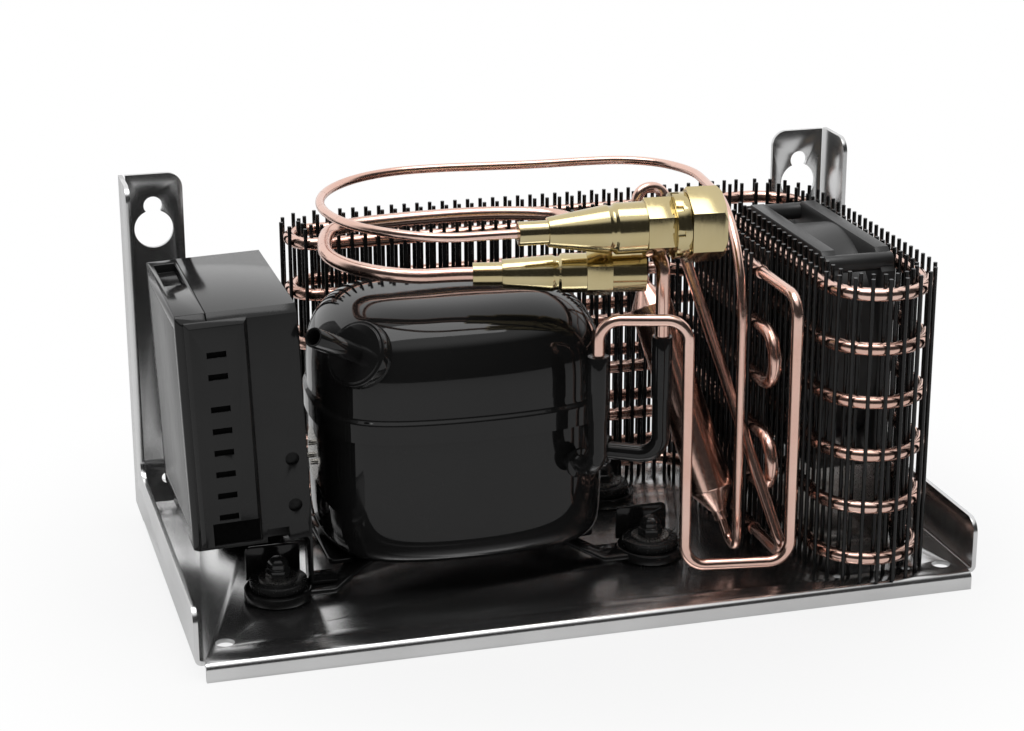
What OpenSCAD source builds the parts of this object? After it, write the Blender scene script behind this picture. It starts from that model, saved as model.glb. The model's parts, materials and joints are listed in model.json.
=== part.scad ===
// Compressor condensing unit on a folded tray: a sealed compressor, a wire and tube condenser with
// its fan, the electronics unit, and copper pipes that end in two quick couplings.
// X runs along the tray, the front lip faces -Y, Z is up and the tray's lips stand on Z = 0.

/* [Tray] */
// Width across the side flanges
tray_w = 350; // [350:1:380]
// Depth from the front lip to the rear tabs
tray_d = 190; // [190:1:210]
// Height of the front and rear lips
lip_h = 8; // [6:0.5:12]
// Thickness of the folded sheet
sheet = 2; // [1.5:0.25:2.5]
// Outer radius of the folds
fold_r = 3; // [2.75:0.25:4]
// Height of the uprights over the tray floor
upright_h = 160.5; // [150:0.5:180]
// Width of the tabs folded in from the uprights
tab_w = 29; // [26:0.5:32]
// Depth of each upright
upright_d = 26.5; // [22:0.5:30]
// Height of the side flanges over the floor
flange_h = 23; // [18:0.5:28]

/* [Condenser] */
// Outside diameter of the condenser tube
tube_d = 6; // [5:0.1:6.5]
// Rows of tube, one over the other
tube_rows = 6; // [4:2:6]
// Height from one row to the next
row_pitch = 24.2; // [18:0.1:24.4]
// Diameter of the wires welded to the tube
wire_d = 1.8; // [1.2:0.1:2]
// Spacing of the wires along the tube
wire_pitch = 6.2; // [5.2:0.1:9]

/* [Compressor] */
// Width of the shell
shell_w = 129; // [125:0.5:131]
// Depth of the shell
shell_d = 105; // [102:0.5:106]
// Height of the dome over the tray floor
dome_h = 124; // [122:0.5:126]
// Thickness of the shell
shell_t = 3; // [2:0.25:3.5]
// Spacing of the feet from left to right
foot_span_x = 170; // [168:0.5:174]
// Spacing of the feet from front to rear
foot_span_y = 70; // [66:0.5:72]
// Bore of the cylinder
bore_d = 21; // [18:0.5:22]
// Travel of the piston from end to end
stroke = 5.8; // [4:0.2:6]

/* [Fan] */
// Side of the square fan frame
fan_size = 102; // [94:1:104]
// Depth of the fan frame
fan_depth = 32; // [28:1:33]
// Number of fan blades
fan_blades = 7; // [5:1:9]

/* [Electronics] */
// Width of the electronics unit
elec_w = 50.5; // [48:0.5:51]
// Depth of the electronics unit from front to rear
elec_d = 88; // [80:0.5:92]
// Height of the electronics unit
elec_h = 104; // [100:0.5:106]

/* [Pipes] */
// Outside diameter of the discharge pipe
discharge_d = 5; // [4:0.1:6]
// Outside diameter of the suction pipe
suction_d = 6.4; // [5:0.1:6.8]
// Outside diameter of the liquid pipe
liquid_d = 4; // [3:0.1:4.4]
// Outside diameter of the condenser outlet pipe
outlet_d = 5; // [4:0.1:5.2]
// Wall of the pipes
pipe_wall = 0.7; // [0.5:0.05:1]
// Diameter of the filter drier
drier_d = 19.5; // [16:0.5:20]

/* [Couplings] */
// Diameter of the upper coupling's body
upper_d = 22; // [20:0.5:22]
// Diameter of the lower coupling's body
lower_d = 17; // [15:0.2:17.6]
// Width across the flats of the union nut
union_flats = 29; // [28:0.5:32]

/* [Hidden] */

// Facets of round parts that the checks read as true circles
round_fn = 32;
// Facets of pipes and wires
pipe_fn = 20;
wire_fn = 14;
// How far a cut runs past what it cuts
cut = 1;
// How far two joined bodies of one node run into each other
weld = 1;
// Gap between pieces that only lie on each other
seat_gap = 0.05;
// Radial gap of a running fit
run_gap = 0.04;
// How far a pipe's straight lengths lap over its bends, and how much finer a bend is for that
lap = 0.1;
bend_less = 0.02;

// Colours as the photograph shows them
steel_colour = "gainsboro";
copper_colour = "peru";
brass_colour = "darkkhaki";
black_colour = "dimgray";

floor_z = lip_h;
half_w = tray_w / 2;
half_d = tray_d / 2;

// Vector helpers for pipe routes
function unit(v) = v / norm(v);
function bend_angle(p, i) = acos(max(-1, min(1, unit(p[i] - p[i - 1]) * unit(p[i + 1] - p[i]))));
function bend_of(bends, i) = is_list(bends) ? bends[i] : bends;
function bend_back(p, i, bends) =
    i == 0 || i == len(p) - 1 ? 0 : bend_of(bends, i) * tan(bend_angle(p, i) / 2);

// A straight length of round tube between two points
module straight_tube(from, to, r, bore) {
    run = to - from;
    way = unit(run);
    translate(from)
        rotate([0, acos(way[2]), atan2(way[1], way[0])])
            linear_extrude(norm(run)) ring(r, bore);
}

// Section of a tube, solid where the bore is zero
module ring(r, bore) {
    difference() {
        circle(r, $fn = pipe_fn);
        if (bore > 0) circle(bore, $fn = pipe_fn);
    }
}

// A bend of round tube at point i of a route
module tube_bend(p, i, bend_r, r, bore) {
    way_in = unit(p[i] - p[i - 1]);
    way_out = unit(p[i + 1] - p[i]);
    turn = bend_angle(p, i);
    inward = unit(way_out - (way_out * way_in) * way_in);
    centre = p[i] - way_in * bend_back(p, i, bend_r) + inward * bend_r;
    ax = -inward;
    az = cross(way_in, way_out) / sin(turn);
    upright = abs(ax[2]) > 0.9999;
    tilt = -asin(ax[2]);
    roll = upright ? atan2(sign(-ax[2]) * way_in[0], way_in[1]) : atan2(way_in[2], az[2]);
    yaw = upright ? 0 : atan2(ax[1], ax[0]);
    translate(centre)
        rotate([roll, tilt, yaw])
            rotate_extrude(angle = turn, $fn = 3 * pipe_fn) translate([bend_r, 0]) ring(r, bore);
}

// A pipe along a route of corner points, bent to one radius or to a list of radii
module pipe(p, bends, r, bore) {
    for (i = [0 : len(p) - 2]) {
        way = unit(p[i + 1] - p[i]);
        start = p[i] + way * (bend_back(p, i, bends) - (i == 0 ? 0 : lap));
        stop = p[i + 1] - way * (bend_back(p, i + 1, bends) - (i == len(p) - 2 ? 0 : lap));
        straight_tube(start, stop, r, bore);
        if (i > 0) tube_bend(p, i, bend_of(bends, i), r - bend_less, bore > 0 ? bore + bend_less : 0);
    }
}

// A cylinder laid along X, starting at x
module along_x(x, length, r, fn = round_fn) {
    translate([x, 0, 0]) rotate([0, 90, 0]) cylinder(h = length, r = r, $fn = fn);
}

// Rounded rectangle centred on the origin
module round_rect(w, d, r) {
    square([w - 2 * r, d], center = true);
    square([w, d - 2 * r], center = true);
    for (x = [-1, 1], y = [-1, 1])
        translate([x * (w / 2 - r), y * (d / 2 - r)]) circle(r, $fn = 2 * round_fn);
}

// Section of a block whose top edges are rounded to r, from z = 0 to h
module domed_section(w, h, r) {
    translate([-w / 2, 0]) square([w, h - r]);
    translate([r - w / 2, h - r - weld]) square([w - 2 * r, r + weld]);
    for (x = [-1, 1]) translate([x * (w / 2 - r), h - r]) circle(r, $fn = 3 * round_fn);
}

// A block with a rounded plan and rounded top edges, standing on z = 0
module domed_block(w, d, h, plan_r, edge_r) {
    intersection() {
        linear_extrude(h) round_rect(w, d, plan_r);
        translate([0, d / 2, 0]) rotate([90, 0, 0]) linear_extrude(d) domed_section(w, h, edge_r);
        translate([-w / 2, 0, 0])
            rotate([90, 0, 90]) linear_extrude(w) domed_section(d, h, edge_r);
    }
}

// Tray sizes that follow the sheet
tab_hole_in = 15;
tab_hole_x = half_w - tab_hole_in;
keyhole_drop = 26;
keyhole_z = floor_z + upright_h - keyhole_drop;
keyhole_r = 9;
keyhole_small_r = 4.3;
keyhole_rise = 11;
rear_hole_r = 2.6;
rear_hole_rise = 12;
rear_hole_z = floor_z + rear_hole_rise;
front_hole_r = 4.1;
left_hole_in = [15, 20];
right_hole_in = [13, 13];
front_hole_left = [left_hole_in[0] - half_w, left_hole_in[1] - half_d];
front_hole_right = [half_w - right_hole_in[0], right_hole_in[1] - half_d];
corner_r = 7;
flange_back = 4.5;
lip_side = 4;
upright_front_y = half_d - upright_d;

// Outline of a side flange with its upright, along the tray (x) and up (y)
module side_outline() {
    difference() {
        union() {
            translate([-half_d + flange_back, floor_z - sheet + fold_r])
                square([tray_d - flange_back, flange_h - fold_r + sheet]);
            translate([upright_front_y, floor_z]) square([upright_d, upright_h]);
            translate([upright_front_y - corner_r, floor_z + flange_h]) square(corner_r);
        }
        translate([upright_front_y - corner_r, floor_z + flange_h + corner_r]) circle(corner_r);
        corner_cut(-half_d + flange_back, floor_z + flange_h);
        corner_cut(upright_front_y, floor_z + upright_h);
    }
}

// Rounds an outer corner whose top is y, at the front edge x
module corner_cut(x, y) {
    difference() {
        translate([x - cut, y - corner_r]) square(corner_r + cut);
        translate([x + corner_r, y - corner_r]) circle(corner_r, $fn = round_fn);
    }
}

// Quarter ring of a fold in the sheet, centre at the origin
module fold_ring() {
    intersection() {
        difference() {
            circle(fold_r, $fn = round_fn);
            circle(fold_r - sheet, $fn = round_fn);
        }
        square(fold_r);
    }
}

// One side of the tray: flange, upright and tab, folded up from the floor's edge
module tray_side() {
    translate([-half_w, 0, 0]) {
        translate([sheet, 0, 0]) rotate([90, 0, 90]) mirror([0, 0, 1])
            linear_extrude(sheet) side_outline();
        translate([fold_r, -half_d + flange_back, floor_z - sheet + fold_r])
            rotate([-90, 0, 0]) rotate([0, 0, 90])
                linear_extrude(tray_d - flange_back - fold_r) fold_ring();
        difference() {
            translate([fold_r, half_d - sheet, floor_z - sheet + fold_r])
                cube([tab_w - fold_r, sheet, upright_h + sheet - fold_r]);
            tab_corner();
        }
    }
}

// Rounds the tab's top inner corner
module tab_corner() {
    translate([tab_w, half_d + cut, floor_z + upright_h])
        rotate([90, 0, 0]) mirror([1, 0, 0])
            linear_extrude(sheet + 2 * cut) corner_cut(0, 0);
}

// Holes through one rear tab and the flange in front of it
module tab_holes() {
    translate([tab_hole_x, half_d + cut, 0]) rotate([90, 0, 0]) {
        translate([0, keyhole_z, 0]) cylinder(h = sheet + 2 * cut, r = keyhole_r, $fn = round_fn);
        translate([0, keyhole_z + keyhole_rise, 0])
            cylinder(h = sheet + 2 * cut, r = keyhole_small_r, $fn = round_fn);
        translate([0, rear_hole_z, 0])
            cylinder(h = 2 * sheet + 2 * cut, r = rear_hole_r, $fn = round_fn);
    }
}

// Lip folded down from the floor's front or rear edge
module tray_lip(length) {
    translate([-length / 2, 0, 0]) {
        cube([length, sheet, lip_h - fold_r]);
        translate([0, fold_r, lip_h - fold_r])
            rotate([90, 0, 90]) linear_extrude(length) mirror([1, 0, 0]) fold_ring();
        translate([0, fold_r, lip_h - sheet]) cube([length, weld, sheet]);
    }
}

bolt_r = 3;
bolt_play = 0.5;
bolt_hole_r = bolt_r + bolt_play;
fan_screw_r = 2;
small_holes = [[112, -82], [145, -82]];
foot_centre = [-45, -1];
foot_places = [for (x = [-1, 1], y = [-1, 1])
    [foot_centre[0] + x * foot_span_x / 2, foot_centre[1] + y * foot_span_y / 2]];
rear_lip_len = tray_w - 2 * tab_w - 4 * sheet;

module base_tray() color(steel_colour) difference() {
    union() {
        translate([fold_r - half_w, fold_r - half_d, floor_z - sheet])
            cube([tray_w - 2 * fold_r, tray_d - 2 * fold_r, sheet]);
        tray_side();
        mirror([1, 0, 0]) tray_side();
        translate([0, -half_d, 0]) tray_lip(tray_w - 2 * lip_side);
        mirror([0, 1, 0]) translate([0, -half_d, 0]) tray_lip(rear_lip_len);
        for (x = [-1, 1]) rear_corner_flange(x);
    }
    for (side = [0, 1]) mirror([side, 0, 0]) tab_holes();
    for (p = [front_hole_left, front_hole_right]) floor_hole(p, front_hole_r);
    for (p = small_holes) floor_hole(p, fan_screw_r);
    for (p = foot_places) floor_hole(p, bolt_hole_r);
    for (p = fan_bracket_holes) floor_hole(p, fan_screw_r);
    for (side = [0, 1]) mirror([side, 0, 0])
        translate([half_w - lip_side, -half_d - cut, floor_z - sheet - cut])
            cube([lip_side + cut, flange_back + cut, sheet + 2 * cut]);
}

module floor_hole(p, r) {
    translate([p[0], p[1], floor_z - sheet - cut])
        cylinder(h = sheet + 2 * cut, r = r, $fn = round_fn);
}

// Short flange folded up from the floor in front of each rear tab
module rear_corner_flange(side) {
    low = side < 0 ? sheet - half_w : half_w - tab_w;
    translate([low, half_d - 2 * sheet, floor_z - sheet])
        cube([tab_w - sheet, sheet, flange_h]);
}

// Feet: a bracket's cup stands over each rubber grommet
cup_r = 15;
cup_lift = 1;
cup_z = floor_z + cup_lift;
cup_h = 4.5;
cup_t = 1.5;
cup_top = cup_z + cup_h;
grommet_r = 12.5;
grommet_waist_r = 8;
grommet_head = 4;
grommet_top = cup_top + grommet_head;
foot_sleeve_r = 4.8;
washer_t = 0.8;
foot_sleeve_top = grommet_top + washer_t;
washer_r = 8.5;
bolt_head_r = 5.5;
bolt_head_h = 3.5;
nut_flats = 10;
nut_h = 6;
dome_nut_h = 3;

module grommet_profile() {
    difference() {
        union() {
            square([cup_r - cup_t - seat_gap, cup_top - cup_t - floor_z - seat_gap]);
            square([grommet_waist_r, grommet_top - floor_z]);
            translate([0, cup_top - floor_z + seat_gap])
                square([grommet_r, grommet_top - cup_top - seat_gap]);
        }
        translate([-cut, -cut]) square([foot_sleeve_r + seat_gap + cut, grommet_top + 2 * cut]);
    }
}

module foot_grommets() color("black")
    for (p = foot_places)
        translate([p[0], p[1], floor_z]) rotate_extrude($fn = round_fn) grommet_profile();

module foot_sleeves() color("silver")
    for (p = foot_places) translate([p[0], p[1], floor_z]) difference() {
        union() {
            cylinder(h = foot_sleeve_top - floor_z, r = foot_sleeve_r, $fn = round_fn);
            translate([0, 0, grommet_top - floor_z + seat_gap])
                cylinder(h = washer_t, r = washer_r, $fn = round_fn);
        }
        translate([0, 0, -cut])
            cylinder(h = foot_sleeve_top + 2 * cut, r = bolt_r + run_gap, $fn = round_fn);
    }

module foot_bolts() color("silver")
    for (p = foot_places) translate([p[0], p[1], floor_z - sheet - seat_gap]) {
        cylinder(h = foot_sleeve_top + nut_h - floor_z + sheet, r = bolt_r, $fn = round_fn);
        translate([0, 0, -bolt_head_h]) cylinder(h = bolt_head_h, r = bolt_head_r, $fn = 6);
    }

module foot_nuts() color("black")
    for (p = foot_places) translate([p[0], p[1], foot_sleeve_top + 2 * seat_gap]) difference() {
        union() {
            cylinder(h = nut_h, r = nut_flats / 2 / cos(30), $fn = 6);
            translate([0, 0, nut_h])
                cylinder(h = dome_nut_h, r1 = nut_flats / 2, r2 = bolt_r, $fn = round_fn);
        }
        translate([0, 0, -cut]) cylinder(h = nut_h + 2 * cut, r = bolt_r + run_gap, $fn = round_fn);
    }

// Shell placing
shell_centre = [-42, -1];
shell_lift = 11;
shell_floor = floor_z + shell_lift;
shell_top = floor_z + dome_h;
shell_plan_r = 36;
dome_edge_r = 27;
sump_edge_r = 16;
skirt_out = 1.5;
skirt_rise = 70.5;
skirt_h = 10;
rim_drop = 2.5;
skirt_low = floor_z + skirt_rise;
skirt_high = skirt_low + skirt_h;
rim_z = skirt_high - rim_drop;
skirt_gap = 0.1;

// A bracket joins the front and the rear foot of one side and carries the shell
rail_w = 30;
rail_inner = 22;
tab_plate_w = 24;
tab_plate_h = 14;
tab_plate_back = 13;
saddle_z = shell_floor - seat_gap;
saddle_w = 6;

module foot_bracket() {
    out = foot_span_x / 2;
    reach = out - rail_inner;
    difference() {
        union() {
            translate([rail_inner, -foot_span_y / 2, 0]) cube([2 * cup_r, foot_span_y, cup_h]);
            for (y = [-1, 1]) translate([0, y * foot_span_y / 2, 0]) {
                translate([out, 0, 0]) cylinder(h = cup_h, r = cup_r, $fn = round_fn);
                translate([rail_inner, -rail_w / 2, 0]) cube([reach, rail_w, cup_h]);
                translate([out - tab_plate_w / 2, tab_plate_back, cup_h - cup_t])
                    cube([tab_plate_w, cup_t, tab_plate_h + cup_t]);
            }
            for (y = [-1, 1]) translate([rail_inner, y * foot_span_y / 4 - saddle_w / 2, 0])
                cube([cup_r, saddle_w, saddle_z - cup_z]);
        }
        for (y = [-1, 1]) translate([0, y * foot_span_y / 2, -cut]) {
            translate([out, 0, 0]) cylinder(h = cup_h - cup_t + cut, r = cup_r - cup_t, $fn = round_fn);
            translate([out, 0, 0])
                cylinder(h = cup_h + 2 * cut, r = grommet_waist_r + seat_gap, $fn = round_fn);
            translate([rail_inner + cup_t, cup_t - rail_w / 2, 0])
                cube([reach - cup_r + cut - cup_t, rail_w - 2 * cup_t, cup_h - cup_t + cut]);
        }
    }
}

module at_feet() { translate([foot_centre[0], foot_centre[1], cup_z]) children(); }
module left_foot_bracket() color(black_colour) at_feet() mirror([1, 0, 0]) foot_bracket();
module right_foot_bracket() color(black_colour) at_feet() foot_bracket();

module shell_place(z) { translate([shell_centre[0], shell_centre[1], z]) children(); }

// Lower half: a cup with rounded bottom edges, its rim inside the upper half's skirt
module lower_shell() color("black") difference() {
    shell_place(rim_z) mirror([0, 0, 1])
        domed_block(shell_w, shell_d, rim_z - shell_floor, shell_plan_r, sump_edge_r);
    shell_place(rim_z) mirror([0, 0, 1])
        domed_block(shell_w - 2 * shell_t, shell_d - 2 * shell_t, rim_z - shell_floor - shell_t,
            shell_plan_r - shell_t, sump_edge_r - shell_t);
    shell_place(rim_z - cut) linear_extrude(2 * cut)
        round_rect(shell_w - 2 * shell_t, shell_d - 2 * shell_t, shell_plan_r - shell_t);
    connector_bore(discharge_port, discharge_yaw);
    connector_bore(suction_port, suction_yaw);
    translate([terminal_x, shell_centre[1], terminal_z]) along_x(-cut, shell_t + 4 * cut, terminal_r);
}

// Upper half: the dome, its skirt outside the lower half's rim
module upper_shell() color("black") difference() {
    union() {
        shell_place(skirt_low) linear_extrude(skirt_h)
            round_rect(shell_w + 2 * skirt_out, shell_d + 2 * skirt_out, shell_plan_r + skirt_out);
        shell_place(skirt_low)
            domed_block(shell_w, shell_d, shell_top - skirt_low, shell_plan_r, dome_edge_r);
        translate(process_port) rotate([0, 0, process_yaw]) rotate([0, process_tilt, 0])
            cylinder(h = process_boss_h, r = process_boss_r, $fn = 2 * round_fn);
    }
    shell_place(skirt_low - cut)
        linear_extrude(rim_z + 2 * seat_gap - skirt_low + cut)
            round_rect(shell_w + 2 * skirt_gap, shell_d + 2 * skirt_gap, shell_plan_r + skirt_gap);
    shell_place(skirt_low)
        domed_block(shell_w - 2 * shell_t, shell_d - 2 * shell_t, shell_top - skirt_low - shell_t,
            shell_plan_r - shell_t, dome_edge_r - shell_t);
    translate(process_port) rotate([0, 0, process_yaw]) rotate([0, process_tilt, 0])
        translate([0, 0, -process_boss_h])
            cylinder(h = 3 * process_boss_h, r = connector_r + run_gap, $fn = round_fn);
}

// Connectors of the shell
connector_r = 4;
connector_wall = 1;
connector_socket_r = 4.5;
connector_bend = 9;
socket_len = 28;
socket_grip = 10;
shell_corner = [shell_centre[0] + shell_w / 2 - shell_plan_r, shell_centre[1] - shell_d / 2 + shell_plan_r];
discharge_yaw = -68.2;
discharge_rise = 55;
discharge_top_rise = 107;
discharge_reach = 15;
suction_yaw = -32;
suction_rise = 53.5;
suction_top_rise = 108.5;
suction_reach = 26;
discharge_top = floor_z + discharge_top_rise;
suction_top = floor_z + suction_top_rise;
boss_r = 6.5;
boss_h = 1.6;
process_yaw = -142;
process_tilt = 62;
process_port = [-88, -34, 113];
process_boss_r = 13;
process_boss_h = 14;
process_len = 42;

// Direction of a connector in plan, and its place on the shell's front right corner
function heading(yaw) = [cos(yaw), sin(yaw), 0];
function port(yaw, z) = [shell_corner[0], shell_corner[1], z] + shell_plan_r * heading(yaw);
discharge_port = port(discharge_yaw, floor_z + discharge_rise);
suction_port = port(suction_yaw, floor_z + suction_rise);

module connector_bore(from, yaw) {
    translate(from - 3 * shell_t * heading(yaw)) rotate([0, 90, yaw])
        cylinder(h = 6 * shell_t, r = connector_r + run_gap, $fn = round_fn);
}

// A tube that leaves the shell level and turns up, with a wider socket at its top
module shell_connector(from, yaw, reach, top, pipe_d) {
    out = from + reach * heading(yaw);
    mouth = [out[0], out[1], top];
    seat = [out[0], out[1], top - socket_grip];
    socket = [out[0], out[1], top - socket_len];
    start = from - 2 * shell_t * heading(yaw);
    pipe([start, out, socket], connector_bend, connector_r, connector_r - connector_wall);
    straight_tube(socket, seat, connector_socket_r, connector_r - connector_wall);
    straight_tube(seat, mouth, connector_socket_r, pipe_d / 2 + seat_gap);
    translate(from + shell_t / 2 * heading(yaw)) rotate([0, 90, yaw]) difference() {
        cylinder(h = boss_h, r = boss_r, $fn = round_fn);
        translate([0, 0, -cut])
            cylinder(h = boss_h + 2 * cut, r = connector_r - connector_wall / 4, $fn = round_fn);
    }
}

module discharge_connector() color("black")
    shell_connector(discharge_port, discharge_yaw, discharge_reach, discharge_top, discharge_d);

module suction_connector() color("black")
    shell_connector(suction_port, suction_yaw, suction_reach, suction_top, suction_d);

module process_connector() color("black")
    translate(process_port) rotate([0, 0, process_yaw]) rotate([0, process_tilt, 0])
        difference() {
            translate([0, 0, -shell_t]) cylinder(h = process_len, r = connector_r, $fn = round_fn);
            translate([0, 0, -shell_t - cut])
                cylinder(h = process_len + 2 * cut, r = connector_r - connector_wall, $fn = round_fn);
        }

// Motor, hung on four springs inside the shell
crank_off = 6;
crank_centre = [shell_centre[0] + crank_off, shell_centre[1]];
motor_w = 84;
stator_rise = 15;
stator_h = 26;
stator_low = shell_floor + stator_rise;
stator_high = stator_low + stator_h;
stator_bore_r = 24;
motor_corner_r = 12;
rotor_gap = 0.4;
rotor_over = 1;
winding_in_r = 26;
winding_out_r = 37;
winding_h = 5;
shaft_r = 8;
spring_place = [33, 27];
spring_r = 4.5;
spring_wire_r = 0.9;
spring_turns = 3;
spring_low = shell_floor + shell_t + seat_gap;

module motor_place(z) { translate([crank_centre[0], crank_centre[1], z]) children(); }

module motor_stator() color("slategray") motor_place(stator_low) difference() {
    linear_extrude(stator_h) round_rect(motor_w, motor_w, motor_corner_r);
    translate([0, 0, -cut])
        cylinder(h = stator_h + 2 * cut, r = stator_bore_r, $fn = 2 * round_fn);
}

module motor_windings() color("sienna")
    for (z = [stator_low - winding_h - seat_gap, stator_high + seat_gap]) motor_place(z)
        difference() {
            cylinder(h = winding_h, r = winding_out_r, $fn = 2 * round_fn);
            translate([0, 0, -cut])
                cylinder(h = winding_h + 2 * cut, r = winding_in_r, $fn = 2 * round_fn);
        }

module motor_rotor() color("gray") motor_place(stator_low - rotor_over) difference() {
    rotor_h = stator_h + 2 * rotor_over;
    cylinder(h = rotor_h, r = stator_bore_r - rotor_gap, $fn = 2 * round_fn);
    translate([0, 0, -cut]) cylinder(h = rotor_h + 2 * cut, r = shaft_r, $fn = round_fn);
}

// One coil spring as a single tube, rings swept along a helix
function helix_point(k, rings, turns, r, h) =
    [r * cos(360 * turns * k / rings), r * sin(360 * turns * k / rings), h * k / rings];
module coil_spring(turns, r, wire_r, h) {
    sides = 6;
    rings = 12 * turns;
    points = [for (k = [0 : rings], s = [0 : sides - 1])
        let (c = helix_point(k, rings, turns, r, h), a = 360 * turns * k / rings, t = 360 * s / sides)
        c + wire_r * [cos(t) * cos(a), cos(t) * sin(a), sin(t)]];
    sleeve = [for (k = [0 : rings - 1], s = [0 : sides - 1])
        let (a = k * sides, b = a + sides, next = (s + 1) % sides)
        [a + s, b + s, b + next, a + next]];
    first = [for (s = [0 : sides - 1]) s];
    last = [for (s = [sides - 1 : -1 : 0]) rings * sides + s];
    polyhedron(points, concat(sleeve, [first, last]));
}

module suspension_springs() color("silver")
    for (x = [-1, 1], y = [-1, 1])
        translate([crank_centre[0] + x * spring_place[0], crank_centre[1] + y * spring_place[1],
                spring_low + spring_wire_r])
            coil_spring(spring_turns, spring_r, spring_wire_r,
                stator_low - spring_low - 2 * spring_wire_r - seat_gap);

// Compressor block: a plate on the stator, the main bearing and the cylinder
block_leg_r = 4;
block_leg_at = 33;
plate_rise = 6;
plate_low = stator_high + plate_rise;
plate_h = 8;
bearing_r = 13;
bearing_out = 8;
bearing_low = stator_high + rotor_over + seat_gap;
bearing_high = plate_low + plate_h + bearing_out;
cylinder_rise = 25;
cylinder_z = plate_low + plate_h + cylinder_rise;
cylinder_wall = 4.5;
crank_throw = stroke / 2;
rod_len = 30;
piston_len = 18;
piston_x = crank_centre[0] - rod_len;
cylinder_off = 21;
cylinder_open_x = crank_centre[0] - cylinder_off;
head_clear = 1;
cylinder_head_x = piston_x - piston_len / 2 - crank_throw - head_clear;
valve_plate_t = 3;
head_t = 12;
head_half = bore_d / 2 + cylinder_wall;

module at_cylinder() { translate([0, crank_centre[1], cylinder_z]) children(); }

module cylinder_block() color("darkgray") difference() {
    union() {
        motor_place(plate_low) linear_extrude(plate_h)
            round_rect(motor_w - motor_corner_r, motor_w - motor_corner_r, motor_corner_r);
        for (x = [-1, 1], y = [-1, 1]) motor_place(stator_high + seat_gap)
            translate([x * block_leg_at, y * block_leg_at, 0])
                cylinder(h = plate_rise + weld, r = block_leg_r, $fn = round_fn);
        motor_place(bearing_low)
            cylinder(h = bearing_high - bearing_low, r = bearing_r, $fn = round_fn);
        translate([cylinder_head_x, crank_centre[1] - head_half, plate_low + plate_h - weld])
            cube([cylinder_open_x - cylinder_head_x, 2 * head_half, cylinder_rise + head_half + weld]);
    }
    motor_place(bearing_low - cut)
        cylinder(h = bearing_high - bearing_low + 2 * cut, r = shaft_r + run_gap, $fn = round_fn);
    at_cylinder() along_x(cylinder_head_x - cut, cylinder_open_x - cylinder_head_x + 2 * cut,
        bore_d / 2 + run_gap / 2);
    motor_place(bearing_high) cylinder(h = head_half * 3, r = web_r + head_clear, $fn = round_fn);
}

web_r = 15;
web_h = 6;
pin_r = 6;
pin_over = 7;
pin_high = cylinder_z + pin_over;
rod_t = 8;
eye_play = 0.6;
eye_r = crank_throw * (1 + sqrt(2)) + pin_r + eye_play;
eye_wall = 3;
wrist_r = 3;
wrist_in = 1.5;
wrist_len = bore_d - 2 * wrist_in;
rod_w = 7;
small_eye_r = 4.8;

module crankshaft() color("silver") {
    motor_place(stator_low - 2 * rotor_over)
        cylinder(h = bearing_high + 2 * seat_gap - stator_low + 2 * rotor_over,
            r = shaft_r, $fn = round_fn);
    motor_place(bearing_high + seat_gap) cylinder(h = web_h, r = web_r, $fn = 2 * round_fn);
    motor_place(bearing_high + web_h) translate([0, crank_throw, 0])
        cylinder(h = pin_high - bearing_high - web_h, r = pin_r, $fn = round_fn);
}

module piston() color("silver") at_cylinder() difference() {
    along_x(piston_x - piston_len / 2, piston_len, bore_d / 2);
    translate([piston_x, 0, 0]) {
        along_x(-piston_len / 3, piston_len, bore_d / 2 - eye_wall);
        translate([0, 0, -bore_d]) cylinder(h = 2 * bore_d, r = wrist_r, $fn = round_fn);
    }
}

module wrist_pin() color("dimgray") at_cylinder()
    translate([piston_x, 0, -wrist_len / 2]) cylinder(h = wrist_len, r = wrist_r, $fn = round_fn);

module connecting_rod() color("gray") at_cylinder() translate([0, 0, -rod_t / 2]) difference() {
    union() {
        translate([piston_x, 0, 0]) cylinder(h = rod_t, r = small_eye_r, $fn = round_fn);
        translate([crank_centre[0], 0, 0]) cylinder(h = rod_t, r = eye_r + eye_wall, $fn = 2 * round_fn);
        translate([piston_x, -rod_w / 2, 0]) cube([rod_len, rod_w, rod_t]);
    }
    translate([crank_centre[0], 0, -cut]) cylinder(h = rod_t + 2 * cut, r = eye_r, $fn = 2 * round_fn);
    translate([piston_x, 0, -cut]) cylinder(h = rod_t + 2 * cut, r = wrist_r + run_gap, $fn = round_fn);
}

module valve_plate() color("lightsteelblue") at_cylinder() difference() {
    translate([cylinder_head_x - valve_plate_t - seat_gap, -head_half, -head_half])
        cube([valve_plate_t, 2 * head_half, 2 * head_half]);
    for (y = [-1, 1]) translate([0, y * bore_d / 4, 0])
        along_x(cylinder_head_x - valve_plate_t - 2 * cut, valve_plate_t + 3 * cut, bore_d / 9);
}

module cylinder_head() color("darkgray") at_cylinder() difference() {
    translate([cylinder_head_x - valve_plate_t - head_t - 2 * seat_gap, -head_half, -head_half])
        cube([head_t, 2 * head_half, 2 * head_half]);
    along_x(cylinder_head_x - valve_plate_t - head_t + shell_t, head_t, bore_d / 2);
}

// Glass sealed terminal with three pins, on the shell's left face
terminal_x = shell_centre[0] - shell_w / 2;
terminal_rise = 52;
terminal_z = floor_z + terminal_rise;
terminal_r = 12;
terminal_t = 2;
terminal_pin_r = 1.2;
terminal_pin_len = 10;
terminal_spread = 5;

module sealed_terminal() color("gainsboro") translate([terminal_x, shell_centre[1], terminal_z]) {
    along_x(seat_gap, shell_t - 2 * seat_gap, terminal_r - seat_gap);
    for (a = [90, 210, 330])
        translate([0, terminal_spread * cos(a), terminal_spread * sin(a)])
            along_x(-terminal_t, terminal_pin_len, terminal_pin_r);
}

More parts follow.
